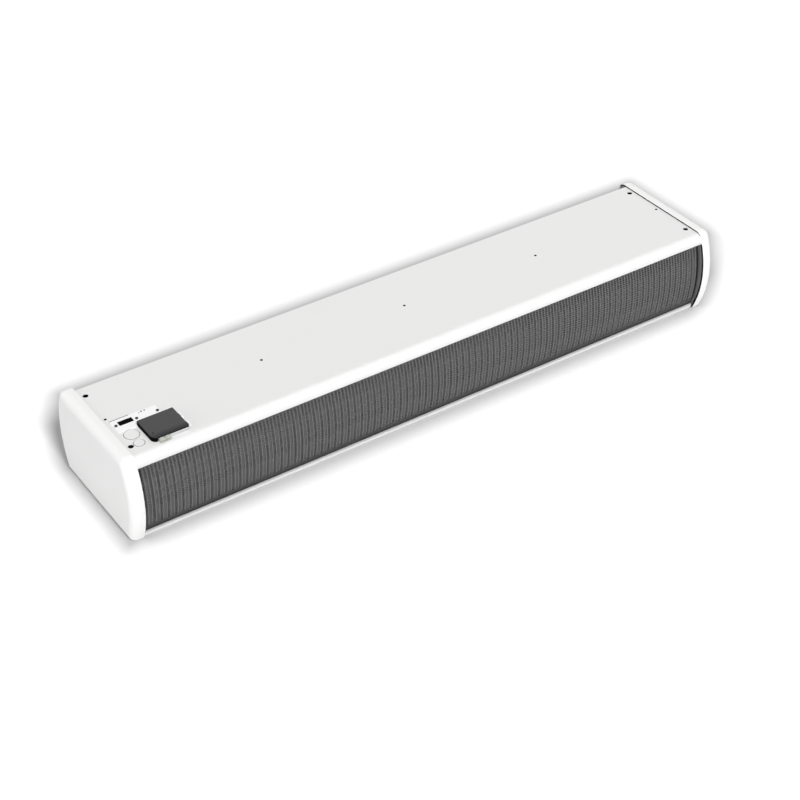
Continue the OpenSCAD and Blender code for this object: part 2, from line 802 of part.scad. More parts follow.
// one blade is a thin slice of a curved wall, leaning forwards
module blade_section() {
    translate([rotor_r - blade_w / 2 - 0.6, -blade_curve_r * 0.75]) intersection() {
        difference() {
            circle(r = blade_curve_r);
            circle(r = blade_curve_r - blade_t);
        }
        translate([-blade_w / 2, 0]) square([blade_w, blade_curve_r + 1]);
    }
}
module rotor_disc(x, bore) {
    along_x(x, x + disc_t) translate([shaft_y, shaft_z]) difference() {
        circle(r = rotor_r);
        circle(r = bore);
    }
}
module rotor() {
    bay = (rotor_x1 - rotor_x0 - disc_t) / rotor_bays;
    color([0.7, 0.72, 0.74]) {
        rotor_disc(rotor_x0, shaft_d / 2 + run_fit);
        rotor_disc(rotor_x1 - disc_t, stub_d / 2 + run_fit);
        for (i = [1:rotor_bays - 1]) rotor_disc(rotor_x0 + i * bay, rotor_r - blade_w - 1);
        along_x(rotor_x0 + disc_t / 2, rotor_x1 - disc_t / 2) translate([shaft_y, shaft_z])
            for (i = [0:blade_n - 1]) rotate(i * 360 / blade_n) blade_section();
        along_x(rotor_x0, rotor_x0 + hub_l) translate([shaft_y, shaft_z]) difference() {
            circle(d = hub_d);
            circle(r = shaft_d / 2 + run_fit);
        }
        along_x(rotor_x1 - hub_l, rotor_x1) translate([shaft_y, shaft_z]) difference() {
            circle(d = stub_hub_d);
            circle(r = stub_d / 2 + run_fit);
        }
    }
}
module rotor_right() {
    rotor();
}
module rotor_left() {
    mirror([1, 0, 0]) rotor();
}
module rotor_stub_shafts() {
    color([0.8, 0.8, 0.82]) both_ends() rod_x(rotor_x1 - hub_l, plate_x1 + 2, shaft_y, shaft_z, stub_d);
}
module end_bearings() {
    flange_d = bearing_d + 2 * bearing_flange_w;
    color([0.72, 0.6, 0.35]) both_ends() difference() {
        union() {
            rod_x(plate_x1 - bearing_l, plate_x1, shaft_y, shaft_z, bearing_d);
            rod_x(plate_x0 - bearing_flange_t, plate_x0, shaft_y, shaft_z, flange_d);
        }
        rod_x(plate_x1 - bearing_l - 1, plate_x1 + 1, shaft_y, shaft_z, stub_d + 2 * run_fit);
    }
}
module rear_wall() {
    color([0.74, 0.75, 0.76]) along_x(fan_x0, plate_x0) {
        polygon(concat(
            arc([scroll_y, scroll_z], scroll_r, scroll_a, 0, scroll_n),
            [[outlet_y1, sheet_t], [outlet_y1 + sheet_t, sheet_t]],
            arc([scroll_y, scroll_z], scroll_r + sheet_t, 0, scroll_a, scroll_n)));
    }
}
module fan_rear_wall_right() {
    rear_wall();
}
module fan_rear_wall_left() {
    mirror([1, 0, 0]) rear_wall();
}
module tongue() {
    color([0.74, 0.75, 0.76]) along_x(fan_x0, plate_x0) {
        polygon([[outlet_y0 - sheet_t, sheet_t], [outlet_y0 - sheet_t, tongue_foot_h],
                 [tongue_y, tongue_top_z], [tongue_y - 1.4 * sheet_t, tongue_top_z],
                 [outlet_y0 - 2.6 * sheet_t, tongue_foot_h], [outlet_y0 - 2.6 * sheet_t, sheet_t]]);
        translate([tongue_y - tongue_curl_r, tongue_top_z - 1]) difference() {
            intersection() {
                circle(r = tongue_curl_r + 0.6);
                slab(-tongue_curl_r * 2, tongue_curl_r * 2, 0, tongue_curl_r * 2);
            }
            circle(r = tongue_curl_r + 0.6 - sheet_t);
        }
    }
}
module fan_tongue_right() {
    tongue();
}
module fan_tongue_left() {
    mirror([1, 0, 0]) tongue();
}

// --- outlet vanes ---
module vane(i) {
    y = vane_y(i);
    color([0.82, 0.83, 0.84]) {
        along_x(-vane_x, vane_x) translate([y, vane_z]) intersection() {
            translate([-vane_arc_r + vane_t / 2, 0]) circle(r = vane_arc_r, $fn = lens_fn);
            translate([vane_arc_r - vane_t / 2, 0]) circle(r = vane_arc_r, $fn = lens_fn);
            slab(-vane_t, vane_t, -vane_c / 2, vane_c / 2);
        }
        rod_x(vane_x - vane_pin_in, plate_x1 + 1, y, vane_z, vane_pin_d);
        rod_x(-plate_x1 - 1, -vane_x + vane_pin_in, y, vane_z, vane_pin_d);
        along_x(vane_x - skin, vane_x + link_t) {
            translate([y, vane_z]) circle(d = link_w);
            slab(y - link_w / 2, y + link_w / 2, vane_z, vane_z + crank_r);
            translate([y, vane_z + crank_r]) circle(d = link_w);
        }
        rod_x(vane_x, link_x0 + link_t + crank_pin_end, y, vane_z + crank_r, crank_pin_d);
    }
}
module outlet_vane_front() {
    vane(0);
}
module outlet_vane_middle() {
    vane(1);
}
module outlet_vane_rear() {
    vane(2);
}
module vane_link() {
    link_z = vane_z + crank_r;
    color([0.2, 0.2, 0.2]) along_x(link_x0, link_x0 + link_t) difference() {
        union() {
            slab(vane_y(0), vane_y(vane_n - 1), link_z - link_w / 2, link_z + link_w / 2);
            for (i = [0, vane_n - 1]) translate([vane_y(i), link_z]) circle(d = link_w);
        }
        for (i = [0:vane_n - 1]) translate([vane_y(i), link_z]) circle(d = crank_pin_d + 2 * run_fit);
    }
}

// --- heating rods ---
function near_rack(x) = min([for (r = rack_x) abs(r - x)]) < fin_t + 2.5;
module finned_run(z) {
    rod_x(rod_x0, rod_x1, rod_y, z, rod_d);
    for (i = [0:fin_n]) {
        x = fin_from + i * fin_pitch;
        if (!near_rack(x + fin_t / 2)) rod_x(x, x + fin_t, rod_y, z, fin_d);
    }
}
module heating_rod(i) {
    z0 = run_z + 2 * i * run_pitch;
    color([0.5, 0.48, 0.46]) {
        finned_run(z0);
        finned_run(z0 + run_pitch);
        translate([rod_x1, rod_y, z0 + run_pitch / 2]) rotate([90, 0, 0])
            rotate_extrude(angle = 180, start = -90) translate([run_pitch / 2, 0]) circle(d = rod_d);
    }
}
module heating_rod_lower() {
    heating_rod(0);
}
module heating_rod_middle() {
    heating_rod(1);
}
module heating_rod_upper() {
    heating_rod(2);
}
module heating_rod_racks() {
    rack_y = [rod_y - rack_w / 2, rod_y + rack_w / 2];
    color([0.78, 0.78, 0.78]) for (x = rack_x) {
        top = x < tray_x1 + rack_foot ? rack_low_top_z : under_z;
        along_x(x - rack_t / 2, x + rack_t / 2) difference() {
            slab(rack_y[0], rack_y[1], sheet_t, top);
            for (i = [0:2 * rod_n - 1])
                translate([rod_y, run_z + i * run_pitch]) circle(d = rod_d + 2 * seat);
        }
        box([x, x + rack_foot], rack_y, [sheet_t, sheet_t + rack_t]);
        box([x, x + rack_foot], rack_y, [top - rack_t, top]);
    }
}

// --- service tray and what it holds ---
module service_tray() {
    color([0.8, 0.8, 0.8]) difference() {
        box([tray_x0, tray_x1], [tray_y0, tray_y1], [tray_z - sheet_t, under_z]);
        box([tray_x0 + sheet_t, tray_x1 - sheet_t], [tray_y0 + sheet_t, tray_y1 - sheet_t],
            [tray_z, under_z + 1]);
        rod_x(tray_x1 - 2 * sheet_t, tray_x1 + 1, grommet_y, tray_z + grommet_d, grommet_d);
    }
}
// a rubber ring that grips the edge of the hole in the tray's wall
module tray_grommet() {
    mid_x = tray_x1 - sheet_t / 2;
    z = tray_z + grommet_d;
    color([0.08, 0.08, 0.08]) difference() {
        union() {
            rod_x(mid_x - grommet_l / 2, tray_x1 - sheet_t, grommet_y, z, grommet_d + 2 * grommet_lip);
            rod_x(mid_x - grommet_l / 2, mid_x + grommet_l / 2, grommet_y, z, grommet_d);
            rod_x(tray_x1, mid_x + grommet_l / 2, grommet_y, z, grommet_d + 2 * grommet_lip);
        }
        rod_x(mid_x - grommet_l, mid_x + grommet_l, grommet_y, z, grommet_d - 2 * grommet_lip);
    }
}
module terminal_block() {
    base_h = 10;
    way_h = 17;
    color([0.86, 0.84, 0.76]) difference() {
        union() {
            box([terminal_x0, terminal_x0 + terminal_l], [terminal_y0, terminal_y0 + terminal_d],
                [tray_z, tray_z + base_h]);
            box([terminal_x0, terminal_x0 + terminal_l], [terminal_y0 + 6, terminal_y0 + terminal_d - 6],
                [tray_z + base_h - 1, tray_z + way_h]);
        }
        for (i = [0:way_n - 1])
            translate([terminal_x0 + (i + 0.5) * way_p, terminal_y0 + terminal_d / 2, tray_z + base_h])
                cylinder(d = way_p / 2, h = way_h);
    }
}
module contactors() {
    body_h = 26;
    coil_h = 31;
    color([0.16, 0.16, 0.17]) for (i = [0:contactor_n - 1]) {
        x0 = contactor_x0 + i * contactor_p;
        box([x0, x0 + contactor_w], [contactor_y0, contactor_y0 + contactor_d],
            [tray_z, tray_z + body_h]);
        box([x0 + 3, x0 + contactor_w - 3], [contactor_y0 + 8, contactor_y0 + contactor_d - 8],
            [tray_z + body_h - 1, tray_z + coil_h]);
    }
}
module motor_capacitor() {
    z = tray_z + capacitor_d / 2;
    neck = 4;
    color([0.85, 0.86, 0.88]) {
        rod_x(capacitor_x0, capacitor_x1, capacitor_y, z, capacitor_d);
        rod_x(capacitor_x1 - skin, capacitor_x1 + neck, capacitor_y, z, capacitor_d - 2 * neck);
    }
}

// --- control plate ---
module control_plate() {
    dot_depth = 0.5;
    color([0.97, 0.97, 0.97]) difference() {
        box([ctrl_x0, ctrl_x0 + ctrl_l], [ctrl_y0, ctrl_y0 + ctrl_d], [top_z, ctrl_top_z]);
        box([entry_x0, entry_x0 + entry_l], [entry_y0, entry_y0 + entry_d], [top_z - 1, ctrl_top_z + 1]);
        for (p = ctrl_screw_at) translate([p[0], p[1], top_z - 1])
            cylinder(d = ctrl_shank_d + 2 * run_fit, h = ctrl_t + 2);
        for (p = ctrl_dots) translate([ctrl_x0 + p[0], ctrl_y0 + p[1], ctrl_top_z - dot_depth])
            cylinder(d = p[2], h = 1);
    }
}
module control_plate_screws() {
    slot = [1, 4, 0.8];
    color([0.35, 0.35, 0.36]) for (p = ctrl_screw_at) translate([p[0], p[1], ctrl_top_z]) {
        difference() {
            cylinder(d = ctrl_screw_d, h = ctrl_screw_h);
            translate([-slot[0] / 2, -slot[1] / 2, ctrl_screw_h - slot[2]])
                cube([slot[0], slot[1], ctrl_screw_h]);
        }
        translate([0, 0, -ctrl_shank_l]) cylinder(d = ctrl_shank_d, h = ctrl_shank_l + skin);
    }
}

// --- control cover, its board and its button ---
// the cover's outline from above, with one rounded corner at the front left
module cover_plan(inset) {
    r = cover_corner_r;
    translate([cover_x0 + inset, cover_y0 + r]) square([cover_l - 2 * inset, cover_d - inset - r]);
    translate([cover_x0 + r, cover_y0 + inset]) square([cover_l - inset - r, cover_d - 2 * inset]);
    translate([cover_x0 + r, cover_y0 + r]) circle(r = r - inset);
}
// the cover's section from front to back, with a rounded front edge
module cover_profile(inset, z0) {
    r = cover_edge_r;
    slab(cover_y0 + inset, cover_y1 - inset, z0, cover_z1 - r);
    slab(cover_y0 + r, cover_y1 - inset, z0, cover_z1 - inset);
    translate([cover_y0 + r, cover_z1 - r]) circle(r = r - inset);
}
module cover_solid(inset, z0) {
    intersection() {
        translate([0, 0, z0]) linear_extrude(height = cover_z1 - z0) cover_plan(inset);
        along_x(cover_x0, cover_x1) cover_profile(inset, z0);
    }
}
module y_rod(y, l, d) {
    translate([knuckle_x, y, knuckle_z]) rotate([-90, 0, 0]) cylinder(d = d, h = l);
}
module control_cover() {
    dot_depth = 0.4;
    color([0.29, 0.29, 0.3]) difference() {
        union() {
            difference() {
                cover_solid(0, cover_low_z);
                cover_solid(cover_wall, cover_low_z - 1);
            }
            for (y = lug_y) {
                y_rod(y, lug_w, 2 * knuckle_r);
                box([cover_x1 - cover_wall, knuckle_x], [y, y + lug_w],
                    [knuckle_z, knuckle_z + knuckle_r]);
            }
        }
        // the gap over the plugs, and the step over the control plate's front edge
        box([plug_x[0] - 2, plug_x[1] + plug_w + 2], [cover_y0 - 1, cover_y0 + cover_wall + 1.5],
            [top_z - 1, plug_z + plug_h + plug_key + 0.5]);
        box([cover_x0 - 1, ctrl_x0 + ctrl_l + 1], [ctrl_y0 - 0.5, cover_y1 + 1],
            [top_z - 1, ctrl_top_z + seat]);
        y_rod(cover_y0 - 1, cover_d + 2, cover_pin_d + 2 * run_fit);
        translate([cover_x0 + 9, cover_y0 + 17, cover_z1 - dot_depth]) cylinder(d = 2.4, h = 1);
        translate([cover_x1 - 9, cover_y1 - 8, cover_z1 - dot_depth]) cylinder(d = 2, h = 1);
    }
}
module cover_hinge_base() {
    color([0.25, 0.25, 0.26]) for (y = lug_y) difference() {
        union() {
            y_rod(y + base_y, base_w, 2 * knuckle_r);
            box([knuckle_x - knuckle_r, knuckle_x + knuckle_r], [y + base_y, y + base_y + base_w],
                [top_z, knuckle_z]);
            box([knuckle_x - 0.5, knuckle_x + 8], [y - 2, y + base_y + base_w + 2],
                [top_z, top_z + hinge_foot_t]);
        }
        y_rod(y + base_y - 1, base_w + 2, cover_pin_d + 2 * run_fit);
    }
}
module cover_hinge_pins() {
    color([0.7, 0.7, 0.72]) for (y = lug_y) y_rod(y - 0.5, base_y + base_w + 1, cover_pin_d);
}
module control_board() {
    leg_d = 4;
    color([0.12, 0.36, 0.2]) {
        difference() {
            translate([0, 0, board_z0]) linear_extrude(height = board_t)
                cover_plan(cover_wall + board_fit);
            box([cover_x0, cover_x1], [ctrl_y0 - 0.5, cover_y1], [top_z, board_z1 + 1]);
            box([plug_x[0] - 1.5, plug_x[1] + plug_w + 1.5], [cover_y0, cover_y0 + 4.6],
                [top_z, board_z1 + 1]);
            translate([button_x, button_y, top_z])
                cylinder(d = button_d + 2 * switch_wall + 2 * seat, h = board_z1);
        }
        for (x = [cover_x0 + leg_in[0], cover_x1 - leg_in[1]], y = cover_y0 * [1, 1] + leg_back)
            translate([x, y, top_z]) cylinder(d = leg_d, h = board_z0 - top_z + skin);
    }
}
module modular_sockets() {
    color([0.13, 0.13, 0.14]) difference() {
        box([plug_x[0] - 1, plug_x[1] + plug_w + 1], [socket_y0, socket_y0 + socket_l],
            [board_z1, cover_z1 - cover_wall - 0.8]);
        for (x = plug_x) box([x - 0.1, x + plug_w + 0.1], [socket_y0 - 1, socket_y0 + 10.5],
            [board_z1 - 1, plug_z + plug_h - 0.2]);
    }
}
module modular_plugs() {
    front_y = cover_y0 - plug_out;
    bore_d = 3.6;
    color([0.78, 0.79, 0.73]) for (x = plug_x) difference() {
        union() {
            box([x, x + plug_w], [front_y, socket_y0 - 0.1], [plug_z, plug_z + plug_h]);
            box([x + 0.2, x + plug_w - 0.2], [socket_y0 - 0.5, socket_y0 + 9.5],
                [board_z1, plug_z + plug_h - 0.5]);
            box([x + 3.5, x + plug_w - 3.5], [front_y - 1.2, front_y + 7],
                [plug_z + plug_h - 0.5, plug_z + plug_h + plug_key]);
        }
        translate([x + plug_w / 2, front_y - 1, plug_z + plug_h / 2]) rotate([-90, 0, 0])
            cylinder(d = bore_d, h = 5);
    }
}
module reset_switch_body() {
    color([0.1, 0.1, 0.1]) translate([button_x, button_y, top_z]) difference() {
        cylinder(d = button_d + 2 * switch_wall, h = board_t + ctrl_t + 3);
        translate([0, 0, button_floor]) cylinder(d = button_d + 2 * run_fit, h = cover_h);
    }
}
module reset_button() {
    color([0.75, 0.12, 0.1]) translate([button_x, button_y, button_rest_z])
        cylinder(d = button_d, h = button_top_z - button_rest_z);
}

end_cap_left();
end_cap_right();
end_plate_left();
end_plate_right();
top_panel();
back_panel();
bottom_panel();
front_lip();
grille_sheet();
grille_frame();
grille_hinge_pins();
grille_catches();
cap_screws();
hanger_bushes();
panel_screws();
knockout_discs();
motor_bulkhead_left();
motor_bulkhead_right();
motor_housing();
motor_rings();
motor_shaft();
rotor_left();
rotor_right();
rotor_stub_shafts();
end_bearings();
fan_rear_wall_left();
fan_rear_wall_right();
fan_tongue_left();
fan_tongue_right();
outlet_vane_front();
outlet_vane_middle();
outlet_vane_rear();
vane_link();
heating_rod_lower();
heating_rod_middle();
heating_rod_upper();
heating_rod_racks();
service_tray();
terminal_block();
contactors();
motor_capacitor();
control_plate();
control_plate_screws();
control_cover();
cover_hinge_base();
cover_hinge_pins();
control_board();
modular_sockets();
modular_plugs();
reset_switch_body();
reset_button();
tray_grommet();
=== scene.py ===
"""Dress a long over-door air curtain: end caps, intake grille, control cover, plugs and finishes.

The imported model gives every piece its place. New pieces are modelled around it, each CAD piece
gets its finish, and a plain white studio stands round the whole. Lengths are in metres.
"""

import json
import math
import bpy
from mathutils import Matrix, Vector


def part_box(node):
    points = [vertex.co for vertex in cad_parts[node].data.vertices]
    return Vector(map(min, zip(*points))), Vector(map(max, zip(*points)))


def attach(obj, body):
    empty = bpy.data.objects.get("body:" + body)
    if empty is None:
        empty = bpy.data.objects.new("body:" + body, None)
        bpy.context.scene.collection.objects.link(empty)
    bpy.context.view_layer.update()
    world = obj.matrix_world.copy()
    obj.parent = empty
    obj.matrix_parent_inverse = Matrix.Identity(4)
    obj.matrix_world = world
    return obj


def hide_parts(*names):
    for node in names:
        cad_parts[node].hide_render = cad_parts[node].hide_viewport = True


bl_info = {
    "name": "Air Curtain Dresser",
    "version": (1, 0, 0),
    "blender": (4, 5, 0),
    "location": "View3D > Sidebar > Air Curtain",
    "description": "Models the visible shells of an air curtain and gives each part its finish",
    "category": "Object",
}

import bmesh
import bpy
from bpy.props import FloatProperty, FloatVectorProperty, IntProperty, PointerProperty
from bpy.types import Operator, Panel, PropertyGroup
from mathutils import Matrix, Vector
from mathutils.geometry import convex_hull_2d

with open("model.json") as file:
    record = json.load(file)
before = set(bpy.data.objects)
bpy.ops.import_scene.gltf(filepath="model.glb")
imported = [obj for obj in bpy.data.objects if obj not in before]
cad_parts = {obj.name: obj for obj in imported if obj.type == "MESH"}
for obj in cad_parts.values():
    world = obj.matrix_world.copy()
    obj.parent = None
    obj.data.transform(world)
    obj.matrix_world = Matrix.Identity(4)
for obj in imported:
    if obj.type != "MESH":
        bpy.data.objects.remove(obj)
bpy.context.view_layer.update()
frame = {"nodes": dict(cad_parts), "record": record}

MM = 0.001
QUARTER = math.pi / 2
SMOOTH_ANGLE = math.radians(32)
NEAR = 0.1 * MM  # a point this close to a place counts as lying there
WELD = 0.02 * MM  # points this close to each other become one
OVER = 1 * MM  # how far a cutter reaches past what it cuts
RELIEF_DEPTH = 0.2 * MM  # height of a finish's grain at full strength
SHADE = "shade"  # the attribute of painted shade: how dark a coat is painted at each point


# --- sizes and colours that a user may change ---


def length(name, default, description):
    """A length in metres, shown with its unit."""
    return FloatProperty(
        name=name, description=description, default=default, min=0.0, subtype="DISTANCE", unit="LENGTH"
    )


def colour(name, default, description):
    """A colour swatch."""
    return FloatVectorProperty(
        name=name, description=description, default=default, size=3, min=0.0, max=1.0, subtype="COLOR"
    )


def angle(name, degrees, description):
    """An angle, set here in degrees."""
    return FloatProperty(
        name=name, description=description, default=math.radians(degrees),
        subtype="ANGLE", unit="ROTATION",
    )


class AirCurtainSizes(PropertyGroup):
    """Sizes of the modelled pieces; their places come from the frame."""

    barrel_radius: length("Barrel radius", 0.240, "Radius of the front and back curve of an end cap")
    cap_wall: length("Cap wall", 0.003, "Wall of an end cap")
    cap_edge: length("Cap edge", 0.018, "Rounding of an end cap's outer edge")
    cap_top_corner: length("Upper corners", 0.020, "Rounding of an end cap's upper corners")
    cap_low_corner: length("Lower corners", 0.008, "Rounding of an end cap's lower corners")
    rim_roll: length("Rim roll", 0.0008, "How far an end cap's inner rim is rolled in")
    rim_roll_top: length("Rim roll, top", 0.0003, "The same, along the top")
    rim_gap: length("Rim gap", 0.0004, "How far a cap's rim stands back, for a clear joint line")
    grille_radius: length("Grille radius", 0.300, "Radius of the intake grille's curve")
    grille_belly: length("Grille belly", 0.096, "Height of the grille's widest line")
    mesh_pitch: length("Mesh pitch", 0.00425, "Distance between neighbouring columns of holes")
    mesh_web: length("Mesh web", 0.0019, "Width of the metal between two holes")
    mesh_thickness: length("Mesh thickness", 0.0012, "Thickness of the perforated sheet")
    ridge: length("Ridge", 0.0022, "Height of the pressed ridges of the sheet")
    grille_border: length("Grille border", 0.0026, "Width of the plain border round the mesh")
    grille_skirt: length("Grille skirt", 0.0135, "Height of the plain strip along the lower edge")
    cover_wall: length("Cover wall", 0.002, "Wall of the control cover")
    cover_corner: length("Cover corner", 0.013, "Rounding of the cover's front left corner")
    knuckle: length("Knuckle radius", 0.0025, "Radius of the cover's hinge knuckles")
    plug_wall: length("Plug wall", 0.0012, "Wall of a modular plug round its cable opening")


class AirCurtainColours(PropertyGroup):
    """Colours of the finishes, in linear light."""

    cap: colour("End caps", (0.91, 0.91, 0.905), "Moulded end caps")
    casing: colour("Casing", (0.82, 0.82, 0.815), "Powder coat of the casing")
    grille: colour("Grille", (0.184, 0.184, 0.187), "Coat of the intake grille")
    # painted shade: the colour the grille's coat darkens to in its grooves, along its border and towards
    # its foot
    groove: colour("Grooves", (0.014, 0.014, 0.015), "The grille's grooves, where dust and shade gather")
    cover: colour("Control cover", (0.068, 0.068, 0.070), "Moulded control cover")
    plate: colour("Control plate", (0.95, 0.95, 0.95), "Coat of the control plate")
    plug: colour("Plugs", (0.74, 0.76, 0.68), "Clear plastic of the modular plugs")


# --- modelling helpers ---


def deselect():
    bpy.ops.object.select_all(action="DESELECT")


def activate(piece):
    """Selects one piece and makes it active."""
    deselect()
    piece.select_set(True)
    bpy.context.view_layer.objects.active = piece


class editing:
    """Edit mode on one piece, with nothing selected."""

    def __init__(self, piece, kind="FACE"):
        self.piece = piece
        self.kind = kind

    def __enter__(self):
        activate(self.piece)
        bpy.ops.object.mode_set(mode="EDIT")
        bpy.ops.mesh.select_mode(type=self.kind)
        bpy.ops.mesh.select_all(action="DESELECT")

    def __exit__(self, *error):
        bpy.ops.object.mode_set(mode="OBJECT")


def pick(test, kind="FACE"):
    """In edit mode, selects the faces, edges or vertices whose centre (and normal) pass the test."""
    bpy.ops.mesh.select_mode(type=kind)
    mesh = bpy.context.edit_object.data
    shape = bmesh.from_edit_mesh(mesh)
    bpy.ops.mesh.select_all(action="DESELECT")
    if kind == "FACE":
        for face in shape.faces:
            face.select_set(test(face.calc_center_median(), face.normal))
    elif kind == "EDGE":
        for edge in shape.edges:
            edge.select_set(test(edge.verts[0].co, edge.verts[1].co))
    else:
        for vert in shape.verts:
            vert.select_set(test(vert.co))
    shape.select_flush_mode()
    bmesh.update_edit_mesh(mesh)


def pick_facing(*ways):
    """In edit mode, selects the faces that look along one of the directions."""
    pick(lambda centre, normal: any(normal.dot(way) > 0.9 for way in ways))


def extrude(x=0.0, y=0.0, z=0.0):
    """In edit mode, extrudes what is selected by a distance along each axis."""
    bpy.ops.mesh.extrude_region_move(TRANSFORM_OT_translate={"value": (x, y, z)})


def slice_at(place, normal, **settings):
    """In edit mode, cuts the whole piece along a plane."""
    bpy.ops.mesh.select_all(action="SELECT")
    bpy.ops.mesh.bisect(plane_co=place, plane_no=normal, **settings)


def weld():
    """In edit mode, merges points that lie on each other."""
    bpy.ops.mesh.select_all(action="SELECT")
    bpy.ops.mesh.remove_doubles(threshold=WELD)


def turn_outwards():
    """In edit mode, makes every face look outwards."""
    bpy.ops.mesh.select_all(action="SELECT")
    bpy.ops.mesh.normals_make_consistent(inside=False)


def settle(piece):
    """Puts a piece's place, turn and scale into its mesh."""
    activate(piece)
    bpy.ops.object.transform_apply(location=True, rotation=True, scale=True)
    return piece


def named(piece, name):
    """Names a piece and its mesh."""
    piece.name = name
    piece.data.name = name
    return piece


def added(name):
    """Names the primitive that was just added, and puts its place into its mesh."""
    return settle(named(bpy.context.active_object, name))


def new_box(name, low, high):
    """A block between two corners."""
    deselect()
    low, high = Vector(low), Vector(high)
    bpy.ops.mesh.primitive_cube_add(size=1, location=(low + high) / 2, scale=high - low)
    return added(name)


def new_rod(name, start, end, radius, sides):
    """A round rod between two points."""
    deselect()
    start, end = Vector(start), Vector(end)
    along = end - start
    bpy.ops.mesh.primitive_cylinder_add(
        vertices=sides, radius=radius, depth=along.length, location=(start + end) / 2,
        rotation=along.to_track_quat("Z", "Y").to_euler(),
    )
    return added(name)


def new_dome(name, place, size, floor, segments, rings):
    """What stands above a level of a ball, which may be squashed."""
    deselect()
    bpy.ops.mesh.primitive_uv_sphere_add(segments=segments, ring_count=rings, radius=1, location=place)
    bpy.context.active_object.scale = size
    dome = added(name)
    with editing(dome):
        slice_at((0, 0, floor), (0, 0, -1), clear_outer=True, use_fill=True)
    return dome


def modify(piece, kind, **settings):
    """Adds a modifier and applies it."""
    activate(piece)
    modifier = piece.modifiers.new(kind.title(), kind)
    for key, value in settings.items():
        setattr(modifier, key, value)
    bpy.ops.object.modifier_apply(modifier=modifier.name)
    return piece


def soften(piece, width, segments=2, **settings):
    """Rounds a piece's sharp edges."""
    return modify(piece, "BEVEL", width=width, segments=segments, limit_method="ANGLE", **settings)


def cut(piece, *cutters):
    """Takes the cutters' shapes out of a piece, and removes the cutters."""
    for cutter in cutters:
        modify(piece, "BOOLEAN", operation="DIFFERENCE", solver="EXACT", object=cutter)
        bpy.data.objects.remove(cutter)


def fuse(piece, other):
    """Unites another piece with a piece as one closed solid."""
    modify(piece, "BOOLEAN", operation="UNION", solver="EXACT", object=other)
    bpy.data.objects.remove(other)
    return piece


def join(piece, *others):
    """Makes one object of several, each kept as its own shell."""
    activate(piece)
    for other in others:
        other.select_set(True)
    bpy.ops.object.join()
    return piece


def copied(piece, name, offset):
    """A copy of a piece with its own mesh, moved by an offset."""
    activate(piece)
    bpy.ops.object.duplicate()
    twin = named(bpy.context.active_object, name)
    twin.location = offset
    return settle(twin)


def mirrored(piece, name):
    """A copy of a piece on the other side of the middle, with its faces turned outwards again."""
    activate(piece)
    bpy.ops.object.duplicate()
    twin = named(bpy.context.active_object, name)
    twin.scale = (-1, 1, 1)
    settle(twin)
    with editing(twin):
        turn_outwards()
    return twin


def smooth(piece, angle=SMOOTH_ANGLE):
    """Smooth shading, with creases kept."""
    activate(piece)
    bpy.ops.object.shade_smooth_by_angle(angle=angle)
    return piece


def hand_over(piece, body, slot, material, *nodes):
    """Gives a finished piece its body and material, and hides the CAD nodes it stands for; the slot is
    not used.
    """
    piece.data.materials.clear()
    piece.data.materials.append(material)
    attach(piece, body)
    if nodes:
        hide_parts(*nodes)


def paint(piece, material, test):
    """Gives the faces that pass the test a second material."""
    piece.data.materials.append(material)
    for face in piece.data.polygons:
        if test(face.center, face.normal):
            face.material_index = len(piece.data.materials) - 1


# --- shading helpers ---


def feed(tree, value, socket):
    """Gives an input its value: another node's output, a number or a colour."""
    if isinstance(value, bpy.types.NodeSocket):
        tree.links.new(value, socket)
    else:
        socket.default_value = value


def add(tree, kind, place, **values):
    """Adds a shader node; a key that is an input is fed, any other key sets a property."""
    node = tree.nodes.new(kind)
    node.location = place
    for key, value in values.items():
        socket = node.inputs.get(key.replace("_", " "))
        if socket is None:
            setattr(node, key, value)
        else:
            feed(tree, value, socket)
    return node


def fill(tree, node, *values):
    """Feeds a node's inputs in their order."""
    for socket, value in zip(node.inputs, values):
        feed(tree, value, socket)
    return node


def maths(tree, operation, terms, place):
    """The result of a math node on terms that are outputs or numbers."""
    return fill(tree, add(tree, "ShaderNodeMath", place, operation=operation), *terms).outputs["Value"]


def spread(tree, value, low, high, place, top=1.0):
    """Maps a value from 0 to top onto a range set by two numbers."""
    node = add(tree, "ShaderNodeMapRange", place, Value=value, To_Min=low, To_Max=high, From_Max=top)
    return node.outputs["Result"]


def swing(tree, pattern, amount, place):
    """A factor round 1 that a 0 to 1 pattern moves by up to half the amount each way."""
    centred = maths(tree, "SUBTRACT", (pattern, 0.5), place)
    return maths(tree, "MULTIPLY_ADD", (centred, amount, 1.0), (place[0] + 200, place[1]))


def object_place(tree, place):
    """Where a point lies on its piece."""
    return add(tree, "ShaderNodeTexCoord", place).outputs["Object"]


def open_group(name, grey, **numbers):
    """An empty shader group: a colour and numbers go in; a colour, a roughness and a height come out."""
    tree = bpy.data.node_groups.new(name, "ShaderNodeTree")
    kinds = {"Color": "NodeSocketColor"}
    for label, value in {"Color": (grey, grey, grey, 1), **numbers}.items():
        kind = kinds.get(label, "NodeSocketFloat")
        tree.interface.new_socket(label, in_out="INPUT", socket_type=kind).default_value = value
    for label in ("Color", "Roughness", "Height"):
        kind = kinds.get(label, "NodeSocketFloat")
        tree.interface.new_socket(label, in_out="OUTPUT", socket_type=kind)
    return tree, add(tree, "NodeGroupInput", (-900, 0)).outputs


def close_group(tree, given, tone, shine, height):
    """Puts out the given colour times a tone, the given roughness times a shine, and a height."""
    toned = add(
        tree, "ShaderNodeMix", (300, 200), data_type="RGBA", blend_type="MULTIPLY",
        Factor=1.0, A=given["Color"], B=tone,
    )
    rough = maths(tree, "MULTIPLY", (given["Roughness"], shine), (100, -100))
    end = add(tree, "NodeGroupOutput", (700, 0))
    fill(tree, end, toned.outputs["Result"], rough, height)
    return tree


